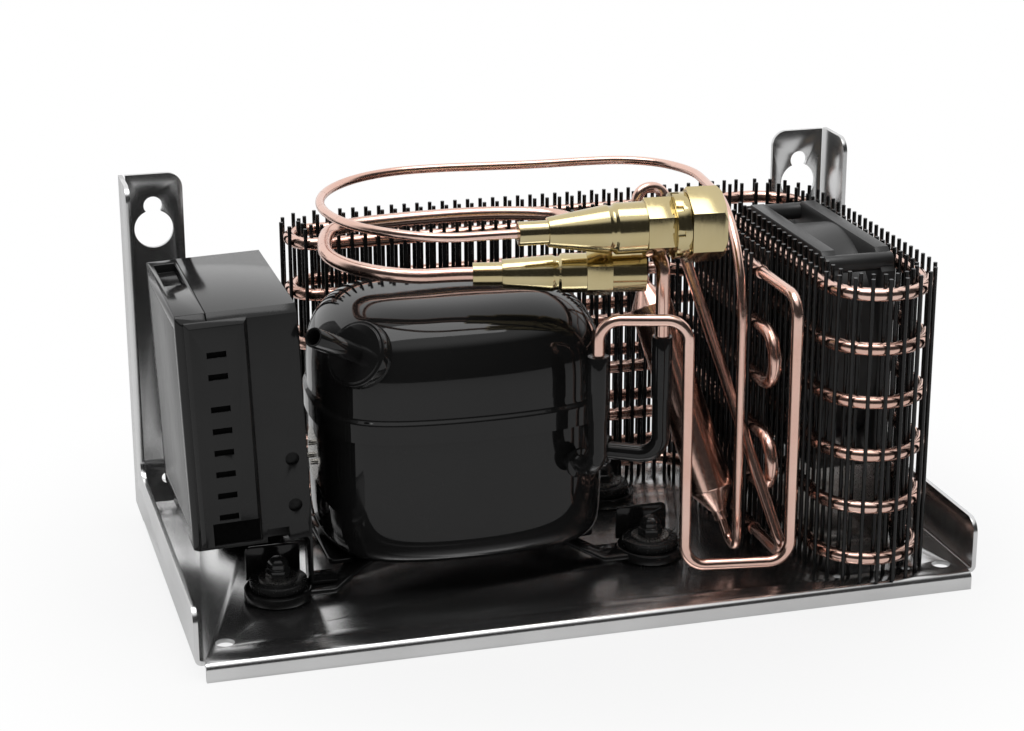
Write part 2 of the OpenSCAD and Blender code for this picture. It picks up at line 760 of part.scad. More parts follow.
// Electronics unit, leaning a little to the left on its bracket
elec_lean = -2;
elec_in = 8.2;
elec_front_y = -45;
elec_rise = 29;
elec_foot = [elec_in - half_w, elec_front_y, floor_z + elec_rise];
lid_w = 13;
case_t = 2;
front_t = 4;
case_w = elec_w - lid_w;
sink_t = 3;
sink_edge = 7;
board_t = 1.6;

// Recess in the front, with terminal slots, a band, a pocket, screw holes and a cable notch
recess_x = 3.5;
recess_w = 26;
recess_low = 1.5;
recess_under = 2.5;
recess_top = elec_h - recess_under;
recess_deep = 1.2;
recess_cut = 7;
slot_x = 11.5;
slot_w = 8.2;
slot_h = 2.6;
slot_deep = 2.2;
slot_low = 13.8;
slot_pitch = 9.65;
slot_skip = 4.6;
lower_slots = 6;
slot_count = 8;
band_x = 24.5;
band_w = 3;
pocket_x = 8.5;
pocket_w = 20;
pocket_h = 11;
notch_x = 31.5;
notch_w = 9.5;
notch_h = 6;
case_hole_x = 44.4;
case_hole_z = [15.4, 36.4];
case_hole_r = 3;

function slot_z(i) = slot_low + i * slot_pitch + (i < lower_slots ? 0 : slot_skip);

module elec_place() { translate(elec_foot) rotate([0, elec_lean, 0]) children(); }

module recess_outline() {
    polygon([
        [recess_x, recess_low], [recess_x + recess_w, recess_low],
        [recess_x + recess_w, recess_top - recess_cut], [recess_x + recess_w - recess_cut / 2, recess_top],
        [recess_x + recess_cut / 4, recess_top], [recess_x, recess_top - recess_cut / 4]
    ]);
}

module front_cuts() {
    translate([0, recess_deep, 0]) rotate([90, 0, 0])
        linear_extrude(recess_deep + cut) recess_outline();
    for (i = [0 : slot_count - 1]) translate([slot_x, 0, slot_z(i)])
        cube([slot_w, recess_deep + slot_deep, slot_h]);
    translate([band_x, 0, slot_low]) cube([band_w, 2 * recess_deep, recess_top - slot_low - recess_cut]);
    translate([pocket_x, 0, recess_low + case_t / 4]) cube([pocket_w, 2.5 * recess_deep, pocket_h]);
    translate([notch_x, -cut, -cut]) cube([notch_w, front_t + 2 * cut, notch_h + cut]);
    for (z = case_hole_z) translate([case_hole_x, front_t + cut, z])
        rotate([90, 0, 0]) cylinder(h = front_t + 2 * cut, r = case_hole_r, $fn = round_fn);
}

module electronics_housing() color("black") elec_place() difference() {
    translate([lid_w + seat_gap, 0, 0]) cube([case_w - seat_gap, elec_d, elec_h]);
    translate([lid_w - cut, front_t, case_t])
        cube([case_w - case_t + cut, elec_d - front_t - case_t, elec_h - 2 * case_t]);
    front_cuts();
}

// Lid on the unit's left, with a window for the heat sink
module electronics_lid() color("black") elec_place() difference() {
    cube([lid_w, elec_d, elec_h]);
    translate([sink_t + case_t, front_t, case_t])
        cube([lid_w, elec_d - front_t - case_t, elec_h - 2 * case_t]);
    translate([-cut, sink_edge, sink_edge])
        cube([sink_t + case_t + 2 * cut, elec_d - 2 * sink_edge, elec_h - 2 * sink_edge]);
    front_cuts();
}

// Aluminium plate in the lid's window, with fins toward the circuit board
fin_t = 1.6;
fin_count = 9;
module heat_sink() color("lightgray") elec_place() {
    inset = sink_edge + seat_gap;
    step = (elec_d - 4 * sink_edge) / (fin_count - 1);
    translate([0, inset, inset]) cube([sink_t + case_t, elec_d - 2 * inset, elec_h - 2 * inset]);
    for (i = [0 : fin_count - 1]) translate([sink_t, 2 * sink_edge + i * step - fin_t / 2, 2 * sink_edge])
        cube([lid_w - sink_t - seat_gap, fin_t, elec_h - 4 * sink_edge]);
}

module case_screws() color("silver") elec_place()
    for (z = case_hole_z) translate([case_hole_x, front_t - seat_gap, z]) rotate([90, 0, 0])
        cylinder(h = front_t / 2, r = case_hole_r - seat_gap, $fn = round_fn);

module circuit_board() color("darkgreen") elec_place() {
    translate([lid_w + seat_gap, front_t + seat_gap, case_t + seat_gap])
        cube([board_t, elec_d - front_t - case_t - 2 * seat_gap, elec_h - 2 * case_t - 2 * seat_gap]);
    for (i = [1 : 3]) translate([lid_w + board_t, elec_d * 2 / 3, elec_h * i / 4])
        rotate([0, 90, 0]) cylinder(h = case_w / 2, r = case_w / 6, $fn = round_fn);
    translate([lid_w + board_t, elec_d / 4, elec_h / 4])
        cube([case_w / 4, elec_d / 5, elec_h / 2]);
}

module spade_terminals() color("gold") elec_place()
    for (i = [0 : slot_count - 1])
        translate([slot_x + slot_h / 3, recess_deep + slot_deep / 3, slot_z(i) + slot_h / 3])
            cube([slot_w - slot_h * 2 / 3, slot_deep * 2 / 3 - seat_gap, slot_h / 3]);

// Sheet bracket that carries the electronics unit on the left foot bracket
bracket_t = 1.5;
bracket_low = 12;
bracket_span = 76;
bracket_y = 6;
bracket_foot = 12;

// A point of the unit's leaning section, seen along the tray's depth
function leaning(x, z) = [x * cos(elec_lean) + z * sin(elec_lean), z * cos(elec_lean) - x * sin(elec_lean)];

// Section of the bracket: a leaning plate, an upright leg and a foot
module bracket_section(foot_z) {
    inner = elec_w + seat_gap;
    plate = [for (c = [[inner, 0], [inner, elec_h - bracket_low],
        [inner + bracket_t, elec_h - bracket_low], [inner + bracket_t, 0]]) leaning(c[0], c[1])];
    foot_end = plate[0][0] + bracket_foot;
    polygon(concat(plate, [
        [plate[3][0], foot_z + bracket_t], [foot_end, foot_z + bracket_t],
        [foot_end, foot_z], [plate[0][0], foot_z]
    ]));
}

module electronics_bracket() color("dimgray") translate(elec_foot) difference() {
    foot_z = cup_top + seat_gap - elec_foot[2];
    translate([0, bracket_y + bracket_span, 0]) rotate([90, 0, 0])
        linear_extrude(bracket_span) bracket_section(foot_z);
    translate([elec_w - bracket_t, bracket_y + bracket_foot, foot_z - cut])
        cube([2 * bracket_foot, bracket_span - 2 * bracket_foot, cut - bracket_t - foot_z]);
}

// Condenser placing: one plan route, repeated in every row
first_row = 10;
row_over = 8;
side_in = 23;
side_x = half_w - side_in;
front_turn_r = 22.5;
front_in = 27.9;
front_turn_y = front_in - half_d;
left_turn_r = 13;
back_in = 11;
back_y = half_d - back_in;
left_in = 87.5;
left_turn_x = left_in - half_w;
inner_gap = 64;
inner_x = side_x - inner_gap;
inner_end_y = -42;
inner_corner_r = 20;
outer_corner_r = 25;
front_run_x = side_x - 2 * front_turn_r;
inner_back_y = back_y - 2 * left_turn_r;
front_run_end_y = 47;
wire_off = (tube_d + wire_d) / 2 + seat_gap;
return_reach = 6;
tube_r = tube_d / 2;

function row_z(i) = floor_z + first_row + i * row_pitch;
top_row_z = row_z(tube_rows - 1);
wire_low = floor_z + seat_gap;
wire_h = top_row_z + row_over - wire_low;

// Corners of one row from its left end to its right end, with their bend radii
row_corners = [
    [inner_x, inner_end_y], [inner_x, inner_back_y],
    [left_turn_x - left_turn_r, inner_back_y], [left_turn_x - left_turn_r, back_y],
    [side_x, back_y], [side_x, front_turn_y - front_turn_r],
    [front_run_x, front_turn_y - front_turn_r], [front_run_x, front_run_end_y]
];
row_bends = [0, inner_corner_r, left_turn_r, left_turn_r, outer_corner_r, front_turn_r, front_turn_r, 0];
row_last = len(row_corners) - 1;

// A row's corners in the order in which the tube runs through them
function row_route(i) = [for (k = [0 : row_last])
    let (c = row_corners[i % 2 == 0 ? row_last - k : k]) [c[0], c[1], row_z(i)]];
function row_radii(i) = [for (k = [0 : row_last])
    let (at = i % 2 == 0 ? row_last - k : k) row_bends[at]];

// The two corners of a return bend from row i to the row over it
return_r = row_pitch / 2;
function return_corners(i) = i % 2 == 1
    ? [for (z = [row_z(i), row_z(i - 1)]) [front_run_x, front_run_end_y + return_reach + return_r, z]]
    : [for (z = [row_z(i), row_z(i - 1)]) [inner_x, inner_end_y - return_reach - return_r, z]];

module condenser_tube() color(copper_colour) {
    for (i = [0 : tube_rows - 1]) pipe(row_route(i), row_radii(i), tube_r, tube_r - pipe_wall);
    for (i = [1 : tube_rows - 1]) {
        ends = return_corners(i);
        start = [ends[0][0], i % 2 == 1 ? front_run_end_y : inner_end_y, row_z(i)];
        stop = [start[0], start[1], row_z(i - 1)];
        pipe([start, ends[0], ends[1], stop], [0, return_r, return_r, 0], tube_r, tube_r - pipe_wall);
    }
}

module wire(at) { translate([at[0], at[1], wire_low]) cylinder(h = wire_h, r = wire_d / 2, $fn = wire_fn); }

// Pairs of wires beside a straight run
module wire_run(from, to) {
    run = to - from;
    count = floor(norm(run) / wire_pitch);
    way = unit(run);
    side = [-way[1], way[0]] * wire_off;
    first = (norm(run) - count * wire_pitch) / 2;
    for (k = [0 : count], s = [-1, 1]) wire(from + way * (first + k * wire_pitch) + s * side);
}

// Pairs of wires beside a bend, between its ends
module wire_bend(centre, r, from_angle, turn) {
    count = max(1, floor(turn / 360 * 2 * PI * r / wire_pitch) - 1);
    for (k = [1 : count], s = [-1, 1]) {
        a = from_angle + turn * k / (count + 1);
        wire(centre + (r + s * wire_off) * [cos(a), sin(a)]);
    }
}

module wires_right_inner() color("black")
    wire_run([inner_x, inner_end_y + wire_d], [inner_x, inner_back_y - inner_corner_r]);
module wires_back_inner() color("black") {
    wire_bend([inner_x - inner_corner_r, inner_back_y - inner_corner_r], inner_corner_r, 0, 90);
    wire_run([left_turn_x, inner_back_y], [inner_x - inner_corner_r, inner_back_y]);
}
module wires_left_turn() color("black")
    wire_bend([left_turn_x, back_y - left_turn_r], left_turn_r, 90, 180);
module wires_back_outer() color("black") {
    wire_run([left_turn_x, back_y], [side_x - outer_corner_r, back_y]);
    wire_bend([side_x - outer_corner_r, back_y - outer_corner_r], outer_corner_r, 0, 90);
}
module wires_right_outer() color("black")
    wire_run([side_x, front_turn_y], [side_x, back_y - outer_corner_r]);
module wires_front_turn() color("black")
    wire_bend([side_x - front_turn_r, front_turn_y], front_turn_r, 180, 180);
module wires_right_front() color("black")
    wire_run([front_run_x, front_turn_y], [front_run_x, front_run_end_y]);

// Fan between the condenser's two right-hand runs
fan_x = side_x - front_turn_r;
fan_back = 63.1;
fan_y = front_turn_y + fan_back;
fan_rise = 78.5;
fan_z = row_z(0) + fan_rise;
fan_low_x = fan_x - fan_depth / 2;
fan_plate_t = 6.5;
fan_corner = 9;
fan_wall = 1.8;
fan_rim = 2.5;
fan_open_r = fan_size / 2 - fan_rim;
fan_tip_gap = 1;
hub_r = 20;
hub_wall = 1.5;
hub_depth = 24;
blade_t = 1.8;
blade_pitch = 38;
motor_base_r = 19;
motor_base_t = 3;
strut_w = 5;
strut_t = 3;
fan_shaft_r = 1.5;
bearing_tube_r = 4;
coil_r = 15;
coil_h = 11;
fan_hole_in = 5.5;
fan_hole_at = fan_size / 2 - fan_hole_in;
coil_lift = 1;
hub_lift = 0.5;
fan_hole_r = 2.2;

module fan_place() { translate([fan_low_x, fan_y, fan_z]) rotate([90, 0, 90]) children(); }

module fan_plate() {
    w = fan_size / 2;
    c = w - fan_corner;
    difference() {
        polygon([[c, w], [-c, w], [-w, c], [-w, -c], [-c, -w], [c, -w], [w, -c], [w, c]]);
        circle(fan_open_r, $fn = 2 * round_fn);
    }
}

module fan_frame() color("black") fan_place() difference() {
    union() {
        for (z = [0, fan_depth - fan_plate_t]) translate([0, 0, z]) linear_extrude(fan_plate_t) fan_plate();
        difference() {
            union() {
                cylinder(h = fan_depth, r = fan_open_r + fan_wall, $fn = 2 * round_fn);
                for (x = [-1, 1], y = [-1, 1]) translate([x * fan_hole_at, y * fan_hole_at, 0])
                    cylinder(h = fan_depth, r = fan_hole_r + fan_wall, $fn = round_fn);
            }
            translate([0, 0, -cut])
                cylinder(h = fan_depth + 2 * cut, r = fan_open_r, $fn = 2 * round_fn);
        }
        difference() {
            for (a = [0, 90]) rotate([0, 0, a + 45])
                translate([-fan_open_r - fan_wall / 2, -strut_w / 2, 0])
                    cube([2 * fan_open_r + fan_wall, strut_w, strut_t]);
            translate([0, 0, -cut])
                cylinder(h = strut_t + 2 * cut, r = motor_base_r + seat_gap, $fn = round_fn);
        }
    }
    for (x = [-1, 1], y = [-1, 1]) translate([x * fan_hole_at, y * fan_hole_at, -cut])
        cylinder(h = fan_depth + 2 * cut, r = fan_hole_r, $fn = round_fn);
}

module fan_motor() color("dimgray") fan_place() difference() {
    union() {
        cylinder(h = motor_base_t, r = motor_base_r, $fn = round_fn);
        cylinder(h = hub_depth, r = bearing_tube_r, $fn = round_fn);
        translate([0, 0, motor_base_t + coil_lift]) cylinder(h = coil_h, r = coil_r, $fn = round_fn);
        cylinder(h = motor_base_t + coil_lift + weld, r = 2 * bearing_tube_r, $fn = round_fn);
    }
    translate([0, 0, motor_base_t]) cylinder(h = hub_depth, r = fan_shaft_r + run_gap, $fn = round_fn);
}

module fan_rotor() color("black") fan_place() {
    hub_low = motor_base_t + hub_lift;
    hub_high = hub_low + hub_depth;
    translate([0, 0, hub_low]) difference() {
        cylinder(h = hub_depth, r = hub_r, $fn = 2 * round_fn);
        translate([0, 0, -cut])
            cylinder(h = hub_depth + cut - hub_wall, r = hub_r - hub_wall, $fn = 2 * round_fn);
    }
    translate([0, 0, motor_base_t + coil_lift])
        cylinder(h = hub_high - motor_base_t - coil_lift - hub_wall / 2, r = fan_shaft_r, $fn = round_fn);
    for (i = [0 : fan_blades - 1]) rotate([0, 0, i * 360 / fan_blades]) intersection() {
        difference() {
            translate([0, 0, hub_low + fan_tip_gap])
                cylinder(h = hub_depth - 2 * fan_tip_gap, r = fan_open_r - fan_tip_gap, $fn = 2 * round_fn);
            cylinder(h = fan_depth, r = hub_r - hub_wall / 2, $fn = 2 * round_fn);
        }
        translate([0, 0, hub_low + hub_depth / 2]) rotate([blade_pitch, 0, 0])
            translate([0, -hub_depth, -blade_t / 2]) cube([fan_open_r, 2 * hub_depth, blade_t]);
    }
}

// Bracket under the fan: an upright beside its right flange and a foot on the floor
fan_bracket_t = 1.2;
fan_bracket_h = 54;
fan_bracket_x = fan_low_x + fan_depth + seat_gap;
fan_foot_in = 8;
fan_foot_y = fan_y - fan_size / 2 + fan_foot_in;
fan_foot_len = fan_size - 2 * fan_foot_in;
foot_hole_at = [8, 32];
fan_bracket_holes = [for (x = [-1, 1], y = [-1, 1])
    [fan_x + x * foot_hole_at[0], fan_y + y * foot_hole_at[1]]];

module fan_bracket() color("silver") difference() {
    union() {
        translate([fan_bracket_x, fan_y - fan_size / 2, floor_z + seat_gap])
            cube([fan_bracket_t, fan_size, fan_bracket_h]);
        translate([fan_low_x, fan_foot_y, floor_z + seat_gap])
            cube([fan_depth + seat_gap + fan_bracket_t, fan_foot_len, fan_bracket_t]);
    }
    fan_place() for (x = [-1, 1]) translate([x * fan_hole_at, -fan_hole_at, 0])
        cylinder(h = fan_depth + 3 * cut, r = fan_hole_r, $fn = round_fn);
    for (p = fan_bracket_holes) translate([p[0], p[1], floor_z - cut])
        cylinder(h = fan_bracket_t + 3 * cut, r = fan_screw_r, $fn = round_fn);
}

screw_head_r = 3.6;
screw_head_h = 1.3;
screw_end = 1;

// Screws that hold the fan to its bracket, through both flanges
module fan_screws() color("silver") fan_place() for (x = [-1, 1])
    translate([x * fan_hole_at, -fan_hole_at, -seat_gap - screw_head_h]) {
        cylinder(h = screw_head_h, r = screw_head_r, $fn = round_fn);
        cylinder(h = screw_head_h + fan_depth + fan_bracket_t + 2 * seat_gap,
            r = fan_hole_r - seat_gap, $fn = round_fn);
    }

module bracket_screws() color("silver")
    for (p = fan_bracket_holes) translate([p[0], p[1], floor_z - sheet - screw_end]) {
        grip = sheet + fan_bracket_t + 2 * seat_gap + screw_end;
        cylinder(h = grip, r = fan_screw_r - seat_gap, $fn = round_fn);
        translate([0, 0, grip]) cylinder(h = screw_head_h, r = screw_head_r, $fn = round_fn);
    }

// Discharge line: out of the shell, over, down to the floor and up to the top row
discharge_out = discharge_port + discharge_reach * heading(discharge_yaw);
discharge_bend = 9.5;
run_high_rise = 123;
run_high_z = floor_z + run_high_rise;
run_low_rise = 11;
run_low_z = floor_z + run_low_rise;
down_x = 42;
down_in = 19;
down_y = down_in - half_d;
riser_in = 11.5;
riser_y = riser_in - half_d;

module discharge_line() color(copper_colour)
    pipe([
        [discharge_out[0], discharge_out[1], discharge_top - socket_grip],
        [discharge_out[0], discharge_out[1], run_high_z],
        [down_x, down_y, run_high_z], [down_x, down_y, run_low_z],
        [inner_x, riser_y, run_low_z], [inner_x, riser_y, top_row_z],
        [inner_x, inner_end_y, top_row_z]
    ], discharge_bend, discharge_d / 2, discharge_d / 2 - pipe_wall);

// Filter drier, leaning from its high rear end to its low front end
drier_low = [69.5, -36, 36.5];
drier_high = [51.4, 0, 114.3];
drier_way = unit(drier_high - drier_low);
drier_len = norm(drier_high - drier_low);
drier_wall = 1;
cone_len = 10;
neck_len = 4;
neck_r = 3.3;
drier_tip_low = drier_low - (cone_len + neck_len) * drier_way;
drier_tip_high = drier_high + (cone_len + neck_len) * drier_way;
neck_grip = 3;

module drier_place() {
    translate(drier_low) rotate([0, acos(drier_way[2]), atan2(drier_way[1], drier_way[0])]) children();
}

module filter_drier() color(copper_colour) drier_place() rotate_extrude($fn = 2 * round_fn) {
    r = drier_d / 2;
    w = drier_wall;
    over = cone_len + neck_len;
    bore_low = liquid_d / 2 + seat_gap;
    bore_high = outlet_d / 2 + seat_gap;
    polygon([
        [bore_low, -over], [neck_r, -over], [neck_r, -cone_len], [r, 0], [r, drier_len],
        [neck_r, drier_len + cone_len], [neck_r, drier_len + over], [bore_high, drier_len + over],
        [bore_high, drier_len + cone_len], [r - w, drier_len], [r - w, 0], [bore_low, -cone_len]
    ]);
}

module drier_core() color("white") drier_place() translate([0, 0, drier_wall])
    cylinder(h = drier_len - 2 * drier_wall, r = drier_d / 2 - drier_wall - seat_gap, $fn = round_fn);

// Outlet line: from the bottom row up over an arch and down into the drier
outlet_in = 15;
outlet_front_y = outlet_in - half_d;
arch_right = [59.2, 11, 167];
arch_left = [46.5, 9, 167];
arch_foot = drier_tip_high + neck_len * drier_way;
outlet_bend = 6;

module outlet_line() color(copper_colour)
    pipe([
        [inner_x, inner_end_y, row_z(0)], [inner_x, outlet_front_y, row_z(0)],
        arch_right, arch_left, arch_foot, drier_tip_high - neck_grip * drier_way
    ], outlet_bend, outlet_d / 2, outlet_d / 2 - pipe_wall);

// Axes of the couplings
upper_start = [-25.5, -49.3, 167];
upper_yaw = -4.9;
lower_start = [-41, -33, 146];
lower_yaw = -13.1;
collar_grip = 8;
collar_lead = 8;

function upper_at(s) = upper_start + s * heading(upper_yaw);
function lower_at(s) = lower_start + s * heading(lower_yaw);

// Largest radius that bends a corner of a loop without a straight left over
function loop_bend(p, i) = i == 0 || i == len(p) - 1 ? 0
    : 0.49 * min(norm(p[i] - p[i - 1]), norm(p[i + 1] - p[i])) / tan(bend_angle(p, i) / 2);
function loop_bends(p, count) = [for (i = [0 : count - 1]) loop_bend(p, i)];

// Liquid line: from the drier up a leg, back round over the unit to the upper coupling
leg_x = 73.7;
leg_y = -56.5;
hairpin_rise = 7.5;
hairpin_z = floor_z + hairpin_rise;
hairpin_bend = 5;
leg_bend = 49.5;
liquid_z = upper_start[2];
liquid_loop = [
    [-56.7, -48], [-75.4, -35.5], [-89.6, -17.5], [-96.4, 4.1], [-95.7, 26.8], [-87.1, 47.3],
    [-72, 63.4], [-52.6, 72.4], [-30.5, 73.2], [16.3, 66.9], [38.9, 66.6], [59, 64.5],
    [74, 53.8], [82.9, 33.1]
];
function level(loop, z) = [for (p = loop) [p[0], p[1], z]];
hairpin_foot = drier_low - (drier_low[2] - hairpin_z) / drier_way[2] * drier_way;

module liquid_line() color(copper_colour) {
    loop = concat([upper_at(collar_grip), upper_at(-collar_lead)], level(liquid_loop, liquid_z));
    route = concat(loop, [
        [leg_x, leg_y, liquid_z], [leg_x, leg_y, hairpin_z], hairpin_foot,
        drier_tip_low + neck_grip * drier_way
    ]);
    bends = concat(loop_bends(route, len(loop)), [leg_bend, hairpin_bend, hairpin_bend, 0]);
    pipe(route, bends, liquid_d / 2, liquid_d / 2 - pipe_wall);
}

// Suction line: from the lower coupling round a rising loop, then down into the shell's socket
suction_out = suction_port + suction_reach * heading(suction_yaw);
loop_rise = 0.07;
suction_lift = 7;
suction_high_z = lower_start[2] + suction_lift;
suction_bend = 9;
suction_loop = [
    [-64.8, -30.8], [-79.6, -22.9], [-91.2, -10.6], [-96.9, 4.4], [-94.6, 21.6], [-89.2, 36.3],
    [-77.7, 42.2], [-50, 45], [-21.1, 44.6], [-1.5, 41.7], [17.3, 34.8]
];

module suction_line() color(copper_colour) {
    loop = concat([lower_at(collar_grip), lower_at(-collar_lead)],
        [for (p = suction_loop) [p[0], p[1], lower_start[2] + loop_rise * (p[1] - lower_start[1])]]);
    route = concat(loop, [
        [suction_out[0], suction_out[1], suction_high_z],
        [suction_out[0], suction_out[1], suction_top - socket_grip]
    ]);
    bends = concat(loop_bends(route, len(loop)), [suction_bend, 0]);
    pipe(route, bends, suction_d / 2, suction_d / 2 - pipe_wall);
}

// Coupling bodies are turned from bar, with a hexagon for the spanner
module coupling_place(start, yaw) { translate(start) rotate([0, 90, yaw]) children(); }

// Profile of a coupling body: collar, cone, groove and cylinder, as stations [radius, height]
collar_len = 12.5;
cone_end = 38;
groove_w = 2.5;
groove_depth = 1.2;
upper_hex_low = 54;
upper_hex_h = 12;
upper_body_len = upper_hex_low + upper_hex_h;
upper_hex_flats = 22.4;
collar_r = 5.1;
cone_start_r = 6.3;
spigot_r = 8;
spigot_len = 14;
passage_r = 3;

module body_profile(end_r, cone_at, len, bore) {
    polygon([
        [bore, 0], [collar_r, 0], [collar_r, collar_len], [cone_start_r, collar_len],
        [end_r - groove_depth / 2, cone_at], [end_r - groove_depth, cone_at + groove_depth],
        [end_r - groove_depth, cone_at + groove_w], [end_r, cone_at + groove_w + groove_depth],
        [end_r, len], [passage_r, len], [passage_r, collar_len], [bore, collar_len]
    ]);
}

module hex_prism(flats, h) { cylinder(h = h, r = flats / 2 / cos(30), $fn = 6); }

module upper_coupling() color(brass_colour) coupling_place(upper_start, upper_yaw) {
    rotate_extrude($fn = 3 * round_fn)
        body_profile(upper_d / 2, cone_end, upper_body_len, liquid_d / 2 + seat_gap);
    translate([0, 0, upper_hex_low]) difference() {
        hex_prism(upper_hex_flats, upper_hex_h);
        translate([0, 0, -cut]) cylinder(h = upper_hex_h + 2 * cut, r = upper_d / 2 - weld, $fn = round_fn);
    }
    translate([0, 0, upper_body_len]) difference() {
        cylinder(h = spigot_len, r = spigot_r, $fn = round_fn);
        translate([0, 0, -cut]) cylinder(h = spigot_len + 2 * cut, r = passage_r, $fn = round_fn);
    }
}

// Notched sleeve behind the union nut; its collar holds the nut
coupling_sleeve_r = 14.2;
sleeve_low = upper_body_len + seat_gap;
sleeve_h = 6;
sleeve_neck_r = 10;
sleeve_neck_h = 3;
sleeve_collar_r = 12.2;
sleeve_collar_h = 2.5;
notch_count = 8;
notch_deep = 1.2;
nut_gap = 0.3;
nut_low = sleeve_low + sleeve_h + nut_gap;
nut_len = 15;
nut_chamfer = 0.5;
nut_back = 2.4;
nut_bore_r = 12.5;

module upper_sleeve() color(brass_colour) coupling_place(upper_start, upper_yaw)
    translate([0, 0, sleeve_low]) difference() {
        union() {
            cylinder(h = sleeve_h, r = coupling_sleeve_r, $fn = 2 * round_fn);
            cylinder(h = sleeve_h + sleeve_neck_h + weld, r = sleeve_neck_r, $fn = 2 * round_fn);
            translate([0, 0, sleeve_h + sleeve_neck_h])
                cylinder(h = sleeve_collar_h, r = sleeve_collar_r, $fn = 2 * round_fn);
        }
        translate([0, 0, -cut])
            cylinder(h = 2 * spigot_len, r = spigot_r + seat_gap, $fn = 2 * round_fn);
        for (i = [0 : notch_count - 1]) rotate([0, 0, i * 360 / notch_count])
            translate([coupling_sleeve_r - notch_deep, -notch_deep, -cut])
                cube([2 * notch_deep, 2 * notch_deep, sleeve_h / 2 + cut]);
    }

module union_nut() color(brass_colour) coupling_place(upper_start, upper_yaw)
    translate([0, 0, nut_low]) difference() {
        intersection() {
            hex_prism(union_flats, nut_len);
            cylinder(h = nut_len, r1 = union_flats / 2 + nut_len, r2 = union_flats / 2 + nut_chamfer,
                $fn = 2 * round_fn);
        }
        translate([0, 0, -cut])
            cylinder(h = nut_back + 2 * cut, r = sleeve_neck_r + run_gap, $fn = 2 * round_fn);
        translate([0, 0, nut_back]) cylinder(h = nut_len, r = nut_bore_r, $fn = 2 * round_fn);
    }

module upper_seal() color("black") coupling_place(upper_start, upper_yaw)
    translate([0, 0, sleeve_low + sleeve_h + sleeve_neck_h + sleeve_collar_h + seat_gap]) difference() {
        cylinder(h = seal_t, r = sleeve_neck_r, $fn = 2 * round_fn);
        translate([0, 0, -cut]) cylinder(h = seal_t + 2 * cut, r = spigot_r + seat_gap, $fn = 2 * round_fn);
    }

// Lower coupling: the same kind of body, with an open socket at its end
seal_t = 1.6;
lower_cone_end = 34;
lower_hex_low = 48.5;
lower_hex_h = 11;
lower_hex_flats = 17.8;
lower_len = 74;
socket_r = 6.5;
socket_depth = 12;
gland_r = 4.5;
gland_base = 4;
gland_len = 9;

module lower_coupling() color(brass_colour) coupling_place(lower_start, lower_yaw) difference() {
    union() {
        rotate_extrude($fn = 3 * round_fn)
            body_profile(lower_d / 2, lower_cone_end, lower_len, suction_d / 2 + seat_gap);
        translate([0, 0, lower_hex_low]) difference() {
            hex_prism(lower_hex_flats, lower_hex_h);
            translate([0, 0, -cut])
                cylinder(h = lower_hex_h + 2 * cut, r = lower_d / 2 - weld, $fn = round_fn);
        }
    }
    translate([0, 0, lower_len - socket_depth])
        cylinder(h = socket_depth + cut, r = socket_r, $fn = 2 * round_fn);
}

module gland_place() {
    coupling_place(lower_start, lower_yaw)
        translate([0, 0, lower_len - socket_depth + seat_gap]) children();
}

module lower_gland() color(brass_colour) gland_place() difference() {
    union() {
        cylinder(h = gland_base, r = socket_r - seat_gap, $fn = 2 * round_fn);
        cylinder(h = gland_len, r = gland_r, $fn = 2 * round_fn);
    }
    translate([0, 0, -cut]) cylinder(h = gland_len + 2 * cut, r = passage_r, $fn = round_fn);
}

module lower_seal() color("black") gland_place()
    translate([0, 0, gland_base + seal_t / 2 + seat_gap]) rotate_extrude($fn = 2 * round_fn)
        translate([gland_r + seal_t / 2 + seat_gap, 0]) circle(seal_t / 2, $fn = pipe_fn);

base_tray();
foot_bolts();
foot_nuts();
foot_grommets();
foot_sleeves();
left_foot_bracket();
right_foot_bracket();
lower_shell();
upper_shell();
suction_connector();
discharge_connector();
process_connector();
sealed_terminal();
motor_stator();
motor_windings();
motor_rotor();
crankshaft();
cylinder_block();
connecting_rod();
wrist_pin();
piston();
valve_plate();
cylinder_head();
suspension_springs();
electronics_housing();
electronics_lid();
heat_sink();
circuit_board();
spade_terminals();
case_screws();
electronics_bracket();
condenser_tube();
wires_right_inner();
wires_back_inner();
wires_left_turn();
wires_back_outer();
wires_right_outer();
wires_front_turn();
wires_right_front();
fan_frame();
fan_motor();
fan_rotor();
fan_screws();
fan_bracket();
bracket_screws();
discharge_line();
outlet_line();
filter_drier();
drier_core();
liquid_line();
suction_line();
upper_coupling();
upper_sleeve();
union_nut();
upper_seal();
lower_coupling();
lower_gland();
lower_seal();
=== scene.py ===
"""Looks for a small condensing unit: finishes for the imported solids, and finer pieces over the plain ones."""

import json
import math

import bmesh
import bpy
from mathutils import Matrix, Vector


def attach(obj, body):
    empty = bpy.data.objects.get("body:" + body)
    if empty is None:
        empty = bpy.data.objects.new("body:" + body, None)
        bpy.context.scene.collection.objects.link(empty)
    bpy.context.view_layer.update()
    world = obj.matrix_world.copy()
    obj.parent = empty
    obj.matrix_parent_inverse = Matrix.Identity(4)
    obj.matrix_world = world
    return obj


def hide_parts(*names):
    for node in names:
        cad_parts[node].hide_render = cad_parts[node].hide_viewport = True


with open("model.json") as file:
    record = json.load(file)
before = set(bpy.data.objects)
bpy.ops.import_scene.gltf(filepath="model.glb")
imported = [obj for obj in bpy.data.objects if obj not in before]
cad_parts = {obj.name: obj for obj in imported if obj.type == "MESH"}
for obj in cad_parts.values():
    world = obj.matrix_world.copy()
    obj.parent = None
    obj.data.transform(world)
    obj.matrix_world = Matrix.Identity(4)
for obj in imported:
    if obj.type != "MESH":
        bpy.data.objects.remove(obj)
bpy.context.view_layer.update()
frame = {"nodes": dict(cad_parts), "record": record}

# All sizes are in millimetres and degrees, and MM turns them into the scene's metres
MM = 0.001
OVERRUN = 1
X, Y, Z = 0, 1, 2
FACING = 0.9
